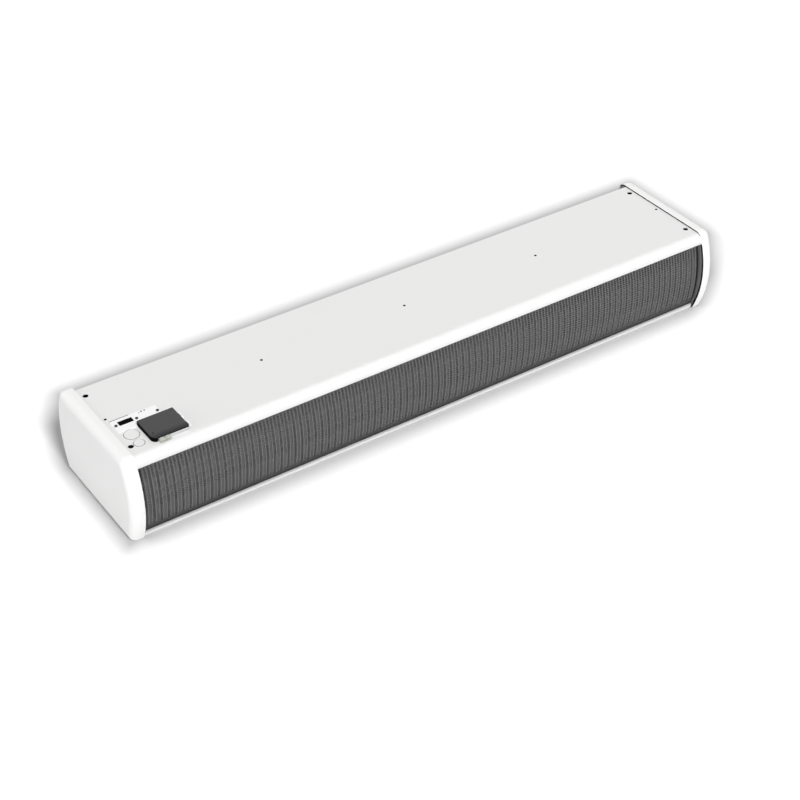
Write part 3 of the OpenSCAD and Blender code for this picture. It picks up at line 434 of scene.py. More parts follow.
def group_coat():
    """A sprayed or moulded coat: fine orange peel, and slow change of tone over the surface."""
    tree, given = open_group("coat_grain", 0.8, Grain=900.0, Roughness=0.4, Mottle=0.03)
    place = object_place(tree, (-1100, -300))
    fine = add(
        tree, "ShaderNodeTexNoise", (-600, -200), Vector=place,
        Scale=given["Grain"], Detail=2.0, Roughness=0.5,
    )
    slow = add(
        tree, "ShaderNodeTexNoise", (-600, 100), Vector=place, Scale=5.0, Detail=4.0, Roughness=0.6
    )
    tone = swing(tree, slow.outputs["Fac"], given["Mottle"], (-350, 100))
    shine = spread(tree, slow.outputs["Fac"], 0.85, 1.15, (-100, -150))
    return close_group(tree, given, tone, shine, fine.outputs["Fac"])


def group_brushed():
    """Rolled, ground or drawn metal: long fine streaks along X."""
    tree, given = open_group("brushed_streaks", 0.6, Roughness=0.3, Streak=0.25, Across=900.0)
    across = given["Across"]
    scale = add(tree, "ShaderNodeCombineXYZ", (-1100, -400), X=9.0, Y=across, Z=across)
    squeeze = add(tree, "ShaderNodeVectorMath", (-900, -300), operation="MULTIPLY")
    fill(tree, squeeze, object_place(tree, (-1300, -200)), scale.outputs["Vector"])
    streaks = add(
        tree, "ShaderNodeTexNoise", (-600, -200), Vector=squeeze.outputs["Vector"],
        Scale=1.0, Detail=3.0, Roughness=0.6,
    ).outputs["Fac"]
    tone = swing(tree, streaks, given["Streak"], (-350, 0))
    return close_group(tree, given, tone, tone, streaks)


def group_spangle():
    """Hot-dip zinc: flat crystals of slightly different grey."""
    tree, given = open_group("zinc_spangle", 0.6, Crystals=90.0, Roughness=0.35)
    crystals = add(
        tree, "ShaderNodeTexVoronoi", (-600, 0), Vector=object_place(tree, (-1100, 0)),
        Scale=given["Crystals"], Randomness=1.0,
    )
    grey = add(tree, "ShaderNodeSeparateColor", (-400, 0), Color=crystals.outputs["Color"]).outputs
    tone = spread(tree, grey["Red"], 0.86, 1.1, (-150, 100))
    shine = spread(tree, grey["Green"], 0.75, 1.25, (-150, -150))
    return close_group(tree, given, tone, shine, grey["Blue"])


GROUP_MAKERS = {
    "coat_grain": group_coat,
    "brushed_streaks": group_brushed,
    "zinc_spangle": group_spangle,
}


def group_tree(name):
    """The shader group of that name, made on first use."""
    return bpy.data.node_groups.get(name) or GROUP_MAKERS[name]()


def new_material(name, **constants):
    """A material with a Principled shader whose constants sit on its own sockets."""
    material = bpy.data.materials.new(name)
    material.use_nodes = True
    tree = material.node_tree
    shader = tree.nodes["Principled BSDF"]
    shader.location = (300, 0)
    for key, value in constants.items():
        shader.inputs[key.replace("_", " ")].default_value = value
    return material, tree, shader


def textured(name, group, colour_value, inputs, bump, **constants):
    """A material that takes colour, roughness and relief from one shader group."""
    material, tree, shader = new_material(name, **constants)
    effect = add(
        tree, "ShaderNodeGroup", (-300, 0), node_tree=group_tree(group),
        Color=(*colour_value, 1), **inputs,
    ).outputs
    relief = add(
        tree, "ShaderNodeBump", (0, -300), Strength=bump, Distance=RELIEF_DEPTH, Height=effect["Height"]
    )
    feed(tree, effect["Color"], shader.inputs["Base Color"])
    feed(tree, effect["Roughness"], shader.inputs["Roughness"])
    feed(tree, relief.outputs["Normal"], shader.inputs["Normal"])
    return material


def recolour(material, output):
    """Feeds a pattern into the colour of a material's shader group."""
    tree = material.node_tree
    feed(tree, output, tree.nodes["Group"].inputs["Color"])
    return material


def coat(name, colour_value, roughness=0.4, grain=900.0, bump=0.12, mottle=0.03, **constants):
    """A sprayed or moulded finish."""
    inputs = {"Grain": grain, "Roughness": roughness, "Mottle": mottle}
    return textured(name, "coat_grain", colour_value, inputs, bump, **constants)


def metal(name, colour_value, roughness=0.3, streak=0.3, across=900.0):
    """A bare metal with streaks along its length."""
    inputs = {"Roughness": roughness, "Streak": streak, "Across": across}
    return textured(name, "brushed_streaks", colour_value, inputs, bump=0.1, Metallic=1.0)


def galvanised(name, colour_value, roughness=0.4):
    """Zinc-coated sheet."""
    inputs = {"Roughness": roughness}
    return textured(name, "zinc_spangle", colour_value, inputs, bump=0.05, Metallic=1.0)


def shaded_coat(name, colour_value, dark_value, **settings):
    """A coat with painted shade: the piece's own shade attribute darkens it, in grooves and down edges.
    """
    material = coat(name, colour_value, **settings)
    tree = material.node_tree
    depth = add(tree, "ShaderNodeAttribute", (-700, 200), attribute_name=SHADE)
    shade = add(
        tree, "ShaderNodeMix", (-500, 100), data_type="RGBA",
        Factor=depth.outputs["Fac"], A=(*colour_value, 1), B=(*dark_value, 1),
    )
    return recolour(material, shade.outputs["Result"])


def heated_tube():
    """Steel sheath and fins with straw and blue heat tints in bands along the rod."""
    material = metal("heat_tinted_steel", (0.10, 0.09, 0.085), roughness=0.45)
    tree = material.node_tree
    place = object_place(tree, (-1100, 300))
    bands = add(tree, "ShaderNodeTexNoise", (-900, 300), Vector=place, Scale=14.0, Detail=3.0)
    tints = add(tree, "ShaderNodeValToRGB", (-700, 300), Fac=bands.outputs["Fac"])
    straw, blue = tints.color_ramp.elements
    straw.position, straw.color = 0.35, (0.115, 0.095, 0.075, 1)
    blue.position, blue.color = 0.62, (0.070, 0.078, 0.095, 1)
    return recolour(material, tints.outputs["Color"])


def circuit_board():
    """Green laminate with paler copper tracks under its coat."""
    laminate = (0.02, 0.13, 0.06)
    material = coat("circuit_board", laminate, roughness=0.3, grain=1500.0)
    tree = material.node_tree
    tracks = add(
        tree, "ShaderNodeTexBrick", (-800, 300), Vector=object_place(tree, (-1100, 300)),
        Scale=60.0, Mortar_Size=0.06,
        Color1=(*laminate, 1), Color2=(0.03, 0.16, 0.07, 1), Mortar=(0.10, 0.32, 0.12, 1),
    )
    return recolour(material, tracks.outputs["Color"])


def finishes():
    """Makes every finish; returns them by the name of their material slot."""
    colours = bpy.context.scene.air_curtain_colours
    return {
        "cap": coat("cap_plastic", colours.cap, roughness=0.36, grain=1400.0, bump=0.06, mottle=0.012),
        "casing": coat("powder_coat_white", colours.casing, roughness=0.42, grain=1100.0, mottle=0.015),
        "dark_plate": coat("grey_plate_coat", (0.20, 0.20, 0.204), roughness=0.6, grain=1200.0),
        # the grille's coat, darkened at each point by painted shade
        "grille": shaded_coat(
            "grille_coat", colours.grille, colours.groove, roughness=0.5, grain=2500.0, mottle=0.10,
            Specular_IOR_Level=0.14,
        ),
        "grille_frame": coat("light_grey_coat", (0.42, 0.42, 0.43), roughness=0.45),
        "zinc": metal("zinc_plate", (0.62, 0.63, 0.64), roughness=0.34, streak=0.2),
        "dark_screw": metal("blackened_steel", (0.055, 0.055, 0.06), roughness=0.42),
        "rubber": coat("black_rubber", (0.025, 0.025, 0.025), roughness=0.75, grain=700.0, bump=0.3),
        "motor": metal("cast_aluminium", (0.48, 0.49, 0.50), roughness=0.55, streak=0.5, across=40.0),
        "shaft": metal("ground_steel", (0.66, 0.66, 0.68), roughness=0.22, streak=0.25, across=1800.0),
        "rotor": metal("rolled_aluminium", (0.50, 0.52, 0.55), roughness=0.38, across=500.0),
        "bearing": metal(
            "sintered_bronze", (0.52, 0.36, 0.18), roughness=0.45, streak=0.4, across=300.0
        ),
        "fan_sheet": galvanised("galvanised_sheet", (0.42, 0.43, 0.44), roughness=0.5),
        "vane": metal(
            "anodised_aluminium", (0.62, 0.63, 0.64), roughness=0.40, streak=0.12, across=1500.0
        ),
        "link": coat("black_nylon", (0.030, 0.030, 0.031), roughness=0.5, bump=0.2),
        "element": heated_tube(),
        "terminal": coat("cream_polyamide", (0.70, 0.66, 0.54), roughness=0.48, grain=800.0, bump=0.2),
        "contactor": coat("black_phenolic", (0.030, 0.030, 0.034), roughness=0.38, grain=1000.0),
        "capacitor": metal("drawn_can", (0.62, 0.63, 0.65), roughness=0.28, streak=0.15, across=700.0),
        "control_plate": coat("plate_coat_white", colours.plate, grain=1300.0, mottle=0.01),
        # dark grained plastic, with painted shade that deepens towards the lid's front edge
        "control_cover": shaded_coat(
            "grained_abs", colours.cover, (0.016, 0.016, 0.017), roughness=0.52, grain=1700.0, bump=0.35,
            Specular_IOR_Level=0.15,
        ),
        "hinge": coat("black_acetal", (0.030, 0.030, 0.034), roughness=0.42),
        "board": circuit_board(),
        "socket": coat("black_pbt", (0.020, 0.020, 0.022), grain=1200.0),
        "plug": coat(
            "clear_polycarbonate", colours.plug, roughness=0.16, grain=400.0, bump=0.05,
            Transmission_Weight=0.35, IOR=1.58,
        ),
        "switch": coat("black_switch_body", (0.018, 0.018, 0.019), roughness=0.45, grain=1000.0),
        "button": coat("red_button", (0.50, 0.03, 0.02), roughness=0.3, grain=600.0),
    }


FINISHES = {}


def finish_of(slot):
    """The material of a slot; all of them are made on first use."""
    if not FINISHES:
        FINISHES.update(finishes())
    return FINISHES[slot]


# --- end caps ---


class Barrel:
    """The end cap's outline: a lens between two wide arcs, cut flat and rounded at top and bottom."""

    CORNER_STEPS = 10
    SIDE_STEPS = 36
    BELLY_DROP = 2 * MM  # from the middle of the height down to the widest line
    LEAST_ROUNDING = 2 * MM

    def __init__(self, sizes, low, high):
        self.sizes = sizes
        self.top = high.z
        self.belly = high.z / 2 - self.BELLY_DROP
        self.arc_y = sizes.barrel_radius - (high.y - low.y) / 2

    def corner(self, rounding, barrel, level):
        """Centre of a corner arc that touches the front arc and a flat level, and its angle."""
        z = level - rounding if level > self.belly else level + rounding
        y = self.arc_y - math.sqrt((barrel - rounding) ** 2 - (z - self.belly) ** 2)
        return Vector((0, y, z)), math.atan2(z - self.belly, y - self.arc_y) % math.tau

    def draw(self, x, side, top, floor):
        """Draws one closed outline across X in the piece being edited, spun arc by arc. It lies inside
        the widest one by the given distances at the sides and the top, and stands on the floor."""
        sizes = self.sizes
        barrel, ceiling = sizes.barrel_radius - side, self.top - top
        round_top = max(sizes.cap_top_corner - side, self.LEAST_ROUNDING)
        round_low = max(sizes.cap_low_corner - side, self.LEAST_ROUNDING)
        upper, upper_turn = self.corner(round_top, barrel, ceiling)
        lower, lower_turn = self.corner(round_low, barrel, floor)
        front = [
            (upper, upper_turn - QUARTER, self.CORNER_STEPS),
            (Vector((0, self.arc_y, self.belly)), lower_turn - upper_turn, self.SIDE_STEPS),
            (lower, 3 * QUARTER - lower_turn, self.CORNER_STEPS),
        ]
        mirror = Vector((1, -1, 1))
        back = [(centre * mirror, sweep, steps) for centre, sweep, steps in reversed(front)]
        bpy.ops.mesh.select_all(action="DESELECT")
        bpy.ops.mesh.primitive_plane_add(size=MM, location=(x, upper.y, ceiling))
        bpy.ops.mesh.merge(type="CENTER")
        for arcs, flat in ((front, -2 * lower.y), (back, 2 * upper.y)):
            for centre, sweep, steps in arcs:
                pivot = (x, centre.y, centre.z)
                bpy.ops.mesh.spin(steps=steps, angle=sweep, center=pivot, axis=(-1, 0, 0))
            extrude(y=flat)


class AIRCURTAIN_OT_end_caps(Operator):
    """Models both moulded end caps as rounded, hollow shells with screw bosses"""

    bl_idname = "air_curtain.end_caps"
    bl_label = "End caps"

    roll_steps: IntProperty(name="Roll steps", description="Rings over the rolled rim", default=4, min=2)
    edge_steps: IntProperty(name="Edge steps", description="Rings over the outer edge", default=9, min=3)

    BOSS_Y, BOSS_RISE = 108 * MM, 60 * MM  # each boss's distance from the middle and the widest line
    BOSS_RADIUS, BORE_RADIUS, BORE_DEPTH = 5 * MM, 2.05 * MM, 12 * MM
    RIM_FACE = 0.3 * MM  # faces that lie this close to the rim's end belong to it

    def shell(self, sizes, outline, low, high):
        """The cap's skin, from the rolled rim to the flat outer face."""
        rim_x, edge_x = low.x + sizes.rim_gap, high.x - sizes.cap_edge
        deselect()
        bpy.ops.mesh.primitive_plane_add(size=MM, location=(high.x, 0, outline.belly))
        cap = added("end_cap_shell_right")
        with editing(cap, "VERT"):
            bpy.ops.mesh.select_all(action="SELECT")
            bpy.ops.mesh.delete(type="VERT")
            for step in range(self.roll_steps):
                share = step / self.roll_steps
                rolled = 1 - math.sin(QUARTER * share)
                x = rim_x + (edge_x - rim_x) * share
                outline.draw(x, sizes.rim_roll * rolled, sizes.rim_roll_top * rolled, 0)
            for step in range(self.edge_steps + 1):
                sweep = QUARTER * step / self.edge_steps
                inset = sizes.cap_edge * (1 - math.cos(sweep))
                outline.draw(edge_x + sizes.cap_edge * math.sin(sweep), inset, inset, inset)
            weld()
            bpy.ops.mesh.select_all(action="SELECT")
            bpy.ops.mesh.select_mode(type="EDGE")
            bpy.ops.mesh.bridge_edge_loops()
            pick(lambda a, b: min(a.x, b.x) > high.x - NEAR, "EDGE")
            bpy.ops.mesh.edge_face_add()
            turn_outwards()
        return cap

    def bosses(self, belly, start_x, end_x):
        """Four bored screw bosses, from the end plate to the cap's outer wall."""
        made = []
        for y in (-self.BOSS_Y, self.BOSS_Y):
            for z in (belly - self.BOSS_RISE, belly + self.BOSS_RISE):
                boss = new_rod("boss", (start_x, y, z), (end_x, y, z), self.BOSS_RADIUS, 20)
                with editing(boss):
                    pick_facing((-1, 0, 0))
                    bpy.ops.mesh.inset(thickness=self.BOSS_RADIUS - self.BORE_RADIUS)
                    extrude(x=self.BORE_DEPTH)
                made.append(boss)
        return made

    def execute(self, context):
        sizes = context.scene.air_curtain_sizes
        low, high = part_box("end_cap_right")
        outline = Barrel(sizes, low, high)
        right = self.shell(sizes, outline, low, high)
        modify(right, "SOLIDIFY", thickness=sizes.cap_wall, offset=-1.0)
        plate_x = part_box("end_plate_right")[1].x
        join(right, *self.bosses(outline.belly, plate_x, high.x - sizes.cap_wall / 2))
        left = mirrored(right, "end_cap_shell_left")
        rim_x, corner_z = low.x + sizes.rim_gap, high.z - sizes.cap_top_corner / 2
        grille_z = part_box("grille_sheet")[1].z

        def sealed(centre, normal):
            """The rim's end face, painted black as shade in the joint, but for its stretch between the
            grille and the upper corner.
            """
            return abs(abs(centre.x) - rim_x) < self.RIM_FACE and not grille_z < centre.z < corner_z

        # a black coat on the rim's end face: painted shade in the joint between cap and casing
        seal = coat("black_foam_seal", (0.012, 0.012, 0.012), roughness=0.9, Specular_IOR_Level=0.1)
        for piece, node in ((right, "end_cap_right"), (left, "end_cap_left")):
            smooth(piece)
            hand_over(piece, "casing", "cap", finish_of("cap"), node)
            paint(piece, seal, sealed)
        return {"FINISHED"}


# --- intake grille ---


def clamped(value):
    """The value, kept between 0 and 1."""
    return min(max(value, 0.0), 1.0)


class AIRCURTAIN_OT_intake_grille(Operator):
    """Models the perforated, ridged grille sheet and its plain border, bent to the grille's curve"""

    bl_idname = "air_curtain.intake_grille"
    bl_label = "Intake grille"

    sections: IntProperty(name="Sections", description="Sheets side by side", default=3, min=1)
    upper_share: FloatProperty(
        name="Upper share", description="Share of the height over which every groove is deep",
        default=0.22, min=0.0, max=1.0, subtype="FACTOR",
    )

    # depth of a deep groove and of a shallow one, what the shallow one gains near the top, the share of
    # the height over which it gains that, and how steeply a groove falls from its ridges; the depth both
    # presses the ridges and sets the painted shade in the grooves
    DEEP, SHALLOW, GAIN, CHANGE, STEEPNESS = 0.9, 0.50, 0.4, 0.08, 1.6
    RISE_LOW, RISE_TOP = 9 * MM, 5 * MM  # how far in from the foot and the top a ridge is at full height
    FLAT_SHADE, FOOT_SHADE = 0.5, 0.20  # painted shade of the unridged edge, and more of it towards the foot
    SKIRT_LIGHT, SKIRT_START = 0.42, 0.15  # how much the skirt's painted shade lightens upwards, and from which share
    SHEET_BACK = 0.7 * MM  # from the grille's curve to the middle of the perforated sheet
    BORDER_WALL = 1.0 * MM
    BORDER_SLICES = 40
    CREASE = math.radians(40)

    def setup(self, context):
        """Works out the sheet's place and the rhythm of its holes."""
        self.sizes = context.scene.air_curtain_sizes
        self.low, self.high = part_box("grille_sheet")
        self.side = self.sizes.mesh_pitch / 1.5
        self.row = self.side * math.sqrt(3)
        self.ridge_pitch = 2 * self.sizes.mesh_pitch

    def front(self, z):
        """Depth of the grille's outer curve at a height."""
        radius = self.sizes.grille_radius
        return self.low.y + radius - math.sqrt(radius**2 - (z - self.sizes.grille_belly) ** 2)

    def height(self, z):
        """Share of the grille's height that lies below a level."""
        return (z - self.low.z) / (self.high.z - self.low.z)

    def groove(self, x, z):
        """0 on a ridge, more in a groove; every second groove is shallow below the top."""
        across = x / self.ridge_pitch
        near = abs(2 * (across - math.floor(across)) - 1) ** self.STEEPNESS
        shallow = round(across) % 2 == 1
        gained = clamped((self.height(z) - (1 - self.upper_share)) / self.CHANGE)
        return near * (self.SHALLOW + self.GAIN * gained if shallow else self.DEEP)

    def rise(self, z):
        """How far the ridges have risen at a height: none at the plain border, full further in."""
        from_low = (z - self.low.z - self.sizes.grille_skirt) / self.RISE_LOW
        from_top = (self.high.z - self.sizes.grille_border - z) / self.RISE_TOP
        return clamped(min(from_low, from_top))

    def sheet_shade(self, groove, z):
        """Painted shade on the sheet: as deep as the groove, half dark where it is flat, and a little
        darker towards its foot."""
        shade = max(groove, self.FLAT_SHADE * (1 - self.rise(z)))
        return min(shade + self.FOOT_SHADE * (1 - self.height(z)) ** 3, 1.0)

    def border_shade(self, z):
        """Painted shade on the border: full, but for the skirt, which lightens upwards."""
        skirt = (z - self.low.z) / self.sizes.grille_skirt
        return 1.0 - self.SKIRT_LIGHT * max(skirt - self.SKIRT_START, 0.0) if skirt < 1 else 1.0

    def bend(self, piece, set_back, ridged):
        """Moves a flat sheet's points onto the curve, presses the ridges out of it if it has them, and
        paints shade into its coat at each point."""
        mesh = piece.data
        depth = mesh.attributes.new(SHADE, "FLOAT", "POINT")
        for vert in mesh.vertices:
            z = vert.co.z
            inward = vert.co.y + set_back
            if ridged:
                groove = self.groove(vert.co.x, z)
                inward -= (1 - groove) * self.rise(z) * self.sizes.ridge
                depth.data[vert.index].value = self.sheet_shade(groove, z)
            else:
                depth.data[vert.index].value = self.border_shade(z)
            lean = math.asin((z - self.sizes.grille_belly) / self.sizes.grille_radius)
            vert.co.y = self.front(z) + inward * math.cos(lean)
        mesh.update()

    def honeycomb(self, name, x0, pairs):
        """A flat sheet of staggered six-sided holes, from x0 over a number of column pairs."""
        deselect()
        bpy.ops.mesh.primitive_circle_add(
            vertices=6, radius=self.side, fill_type="NGON",
            location=(x0, 0, self.low.z), rotation=(QUARTER, QUARTER, 0),
        )
        sheet = added(name)
        with editing(sheet):
            bpy.ops.mesh.select_all(action="SELECT")
            bpy.ops.mesh.inset(thickness=self.sizes.mesh_web / 2, use_boundary=True)
            bpy.ops.mesh.delete(type="FACE")
        rows = math.ceil((self.high.z - self.low.z) / self.row) + 1
        steps = [
            (2, (1.5 * self.side, 0, self.row / 2)),
            (rows, (0, 0, self.row)),
            (pairs, (3 * self.side, 0, 0)),
        ]
        for count, step in steps:
            modify(
                sheet, "ARRAY", count=count, use_relative_offset=False,
                use_constant_offset=True, constant_offset_displace=step,
            )
        return sheet

    def mesh_sheet(self, name, x0, pairs, low_z, high_z):
        """A section of the perforated sheet, cut straight at its foot and its top."""
        sheet = self.honeycomb(name, x0, pairs)
        with editing(sheet):
            slice_at((0, 0, low_z), (0, 0, -1), clear_outer=True)
            slice_at((0, 0, high_z), (0, 0, 1), clear_outer=True)
            weld()
        modify(sheet, "SOLIDIFY", thickness=self.sizes.mesh_thickness, offset=0.0)
        self.bend(sheet, self.SHEET_BACK, True)
        return sheet

    def border(self):
        """The plain strip round the whole grille, over the edge of the perforated sheets."""
        sizes = self.sizes
        deselect()
        middle = (self.low + self.high) / 2
        span = self.high - self.low
        bpy.ops.mesh.primitive_plane_add(size=1, location=(0, 0, middle.z), rotation=(QUARTER, 0, 0))
        bpy.context.active_object.scale = (span.x, span.z, 1)
        strip = added("grille_border")
        with editing(strip):
            bpy.ops.mesh.select_all(action="SELECT")
            bpy.ops.mesh.inset(thickness=sizes.grille_border)
            bpy.ops.mesh.delete(type="FACE")
            edge = self.low.z + sizes.grille_border
            pick(lambda point: abs(point.z - edge) < NEAR, "VERT")
            bpy.ops.transform.translate(value=(0, 0, sizes.grille_skirt - sizes.grille_border))
            for number in range(1, self.BORDER_SLICES):
                slice_at((0, 0, self.low.z + span.z * number / self.BORDER_SLICES), (0, 0, 1))
        modify(strip, "SOLIDIFY", thickness=self.BORDER_WALL, offset=0.0)
        self.bend(strip, self.BORDER_WALL / 2, False)
        return strip

    def execute(self, context):
        self.setup(context)
        sizes = self.sizes
        lap = sizes.grille_border / 2
        low_z, high_z = self.low.z + sizes.grille_skirt - lap, self.high.z - lap
        total_pairs = math.floor((self.high.x - self.low.x - 2 * lap) / self.ridge_pitch)
        x0 = -total_pairs * self.ridge_pitch / 2 + sizes.mesh_pitch / 2
        counts = [total_pairs // self.sections] * self.sections
        counts[-1] += total_pairs - sum(counts)
        pieces = []
        for number, pairs in enumerate(counts):
            start = x0 + sum(counts[:number]) * self.ridge_pitch
            pieces.append(self.mesh_sheet(f"grille_mesh_{number + 1}", start, pairs, low_z, high_z))
        pieces.append(self.border())
        for piece in pieces:
            smooth(piece, self.CREASE)
            hand_over(piece, "grille", "grille", finish_of("grille"), "grille_sheet")
        return {"FINISHED"}


# --- control cover ---


class AIRCURTAIN_OT_control_cover(Operator):
    """Models the hinged control cover as a thin shell with hinge knuckles, and the sill below it"""

    bl_idname = "air_curtain.control_cover"
    bl_label = "Control cover"

    SIDE_GAP = 0.4 * MM  # between the cover's right side and its knuckles
    EDGE = 2.2 * MM  # rounding of the lid's front and left edges
    LID = 3.3 * MM  # depth of the lid with its rounded edge, which droops as a whole
    SLOPE, DROOP = 17 * MM, 1.5 * MM  # how far behind its front the lid starts to droop, and how far
    SLICES, SHADE_POWER = 11, 1.3  # rows of points over the slope, and how its painted shade gathers in front
    PLUG_SIDE, PLUG_TOP, PLUG_BACK = 2 * MM, 0.5 * MM, 1.5 * MM  # room that the cover leaves the plugs
    PLATE_SIDE, PLATE_TOP, PLATE_FRONT = 1 * MM, 0.3 * MM, 0.5 * MM  # the same for the control plate
    DIMPLE_DEPTH = 0.6 * MM
    # each knuckle's front end: its distance from the cover's front, or from its back if negative
    KNUCKLES = (12 * MM, -26 * MM)
    KNUCKLE_LENGTH, KNUCKLE_LIFT = 9 * MM, 0.9 * MM
    PIN_RADIUS, PIN_DEPTH = 1.05 * MM, 1.5 * MM
    WEB_LAP, WEB_LIFT = 0.5 * MM, 0.2 * MM  # into the cover's side, and above the pin's middle
    # the sill's thickness, how far it stays below the lid's top, and its distance from the plugs at
    # its left, from the cover's side at its right, and from the cover's front
    SILL_WALL, SILL_DROP = 1.2 * MM, 5.0 * MM
    SILL_LEFT, SILL_RIGHT, SILL_BACK = 1.5 * MM, 0.5 * MM, 0.1 * MM

    def knuckles(self, sizes, low, high, side_x):
        """The cover's two hinge knuckles, each joined to the cover by a web."""
        pin_x, pin_z = high.x - sizes.knuckle, low.z + self.KNUCKLE_LIFT + sizes.knuckle
        made = []
        for distance in self.KNUCKLES:
            y = (low.y if distance > 0 else high.y) + distance
            end = y + self.KNUCKLE_LENGTH
            knuckle = new_rod("knuckle", (pin_x, y, pin_z), (pin_x, end, pin_z), sizes.knuckle, 28)
            with editing(knuckle):
                pick_facing((0, -1, 0), (0, 1, 0))
                bpy.ops.mesh.inset(thickness=sizes.knuckle - self.PIN_RADIUS, use_individual=True)
                bpy.ops.mesh.extrude_faces_move(TRANSFORM_OT_shrink_fatten={"value": -self.PIN_DEPTH})
            web_low = (side_x - self.WEB_LAP, y, pin_z + self.WEB_LIFT)
            web = new_box("web", web_low, (pin_x, end, pin_z + sizes.knuckle))
            made.append(fuse(knuckle, web))
        return made

    def shell(self, sizes, low, high):
        """The hollow box, open below, with one round corner and round upper edges."""
        cover = new_box("control_cover_shell", low, high)

        def at_corner(point):
            return abs(point.x - low.x) < NEAR and abs(point.y - low.y) < NEAR

        def at_top(point):
            return point.z > high.z - NEAR

        def ahead(point):
            return point.y < high.y - NEAR and point.x < high.x - NEAR

        with editing(cover):
            pick(lambda a, b: at_corner(a) and at_corner(b), "EDGE")
            bpy.ops.mesh.bevel(offset=sizes.cover_corner, segments=12, affect="EDGES")
            pick(lambda a, b: at_top(a) and at_top(b) and (ahead(a) or ahead(b)), "EDGE")
            bpy.ops.mesh.bevel(offset=self.EDGE, segments=6, affect="EDGES")
            pick_facing((0, 0, -1))
            bpy.ops.mesh.inset(thickness=sizes.cover_wall)
            extrude(z=high.z - low.z - sizes.cover_wall)
        return cover

    def make_room(self, cover, sizes, low, high):
        """Cuts out what the plugs and the control plate need."""
        plug_low, plug_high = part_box("modular_plugs")
        plate_low, plate_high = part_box("control_plate")
        notch = new_box(
            "notch", (plug_low.x - self.PLUG_SIDE, low.y - OVER, low.z - OVER),
            (high.x + OVER, low.y + sizes.cover_wall + self.PLUG_BACK, plug_high.z + self.PLUG_TOP),
        )
        step = new_box(
            "step", (low.x - OVER, plate_low.y - self.PLATE_FRONT, low.z - OVER),
            (plate_high.x + self.PLATE_SIDE, high.y + OVER, plate_high.z + self.PLATE_TOP),
        )
        cut(cover, notch, step)

    def sink_front(self, cover, low, high):
        """Lets the lid's front sink a little, and paints shade on it that deepens towards its front
        edge.
        """
        with editing(cover):
            for number in range(1, self.SLICES + 1):
                slice_at((0, low.y + self.SLOPE * number / self.SLICES, 0), (0, 1, 0))
        shade = cover.data.attributes.new(SHADE, "FLOAT", "POINT")
        for vert in cover.data.vertices:
            share = max(0.0, 1 - (vert.co.y - low.y) / self.SLOPE)
            shade.data[vert.index].value = share**self.SHADE_POWER
            if vert.co.z > high.z - self.LID:
                vert.co.z -= self.DROOP * share**2
        cover.data.update()

    def sill(self, low, high):
        """The grey strip that shows below the lid's front edge, right of the plugs; its grey is painted
        shade under the lid.
        """
        plug_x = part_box("modular_plugs")[1].x
        plate_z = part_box("control_plate")[0].z
        front = low.y + self.SILL_BACK
        sill = new_box(
            "cover_sill", (plug_x + self.SILL_LEFT, front, plate_z),
            (high.x - self.SILL_RIGHT, front + self.SILL_WALL, high.z - self.SILL_DROP),
        )
        return soften(sill, 0.3 * MM, 3)

    def execute(self, context):
        sizes = context.scene.air_curtain_sizes
        low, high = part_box("control_cover")
        side_x = high.x - 2 * sizes.knuckle - self.SIDE_GAP
        corner = Vector((side_x, high.y, high.z))
        cover = self.shell(sizes, low, corner)
        self.make_room(cover, sizes, low, corner)
        dimples = [
            (low.x + 9 * MM, low.y + 17 * MM, 1.7 * MM),
            (side_x - 9 * MM, high.y - 8 * MM, 1.0 * MM),
        ]
        for x, y, radius in dimples:
            ends = (x, y, high.z - self.DIMPLE_DEPTH), (x, y, high.z + OVER)
            cut(cover, new_rod("dimple", *ends, radius, 24))
        soften(cover, 0.35 * MM, angle_limit=math.radians(50))
        self.sink_front(cover, low, high)
        join(cover, *self.knuckles(sizes, low, high, side_x))
        smooth(cover)
        modify(cover, "WEIGHTED_NORMAL", keep_sharp=True, weight=100)
        hand_over(cover, "cover", "control_cover", finish_of("control_cover"), "control_cover")

        def side_or_dimple(centre, normal):
            """The sides and the inside, and the floor of each dimple, which get near-black painted
            shade.
            """
            return normal.z < 0.5 or any(
                math.hypot(centre.x - x, centre.y - y) < 0.9 * radius for x, y, radius in dimples
            )

        # near-black painted shade on the cover's walls, inside and dimple floors
        black = (0.002, 0.002, 0.002)
        sides = coat("black_abs", black, roughness=0.7, grain=1700.0, bump=0.3, Specular_IOR_Level=0.03)
        paint(cover, sides, side_or_dimple)
        sill = smooth(self.sill(low, corner))
        # a grey that paints the shade under the lid's front edge
        sill_coat = coat("sill_grey_coat", (0.60, 0.60, 0.605), roughness=0.5, grain=1100.0)
        hand_over(sill, "casing", "control_plate", sill_coat)
        return {"FINISHED"}


# --- modular plugs ---


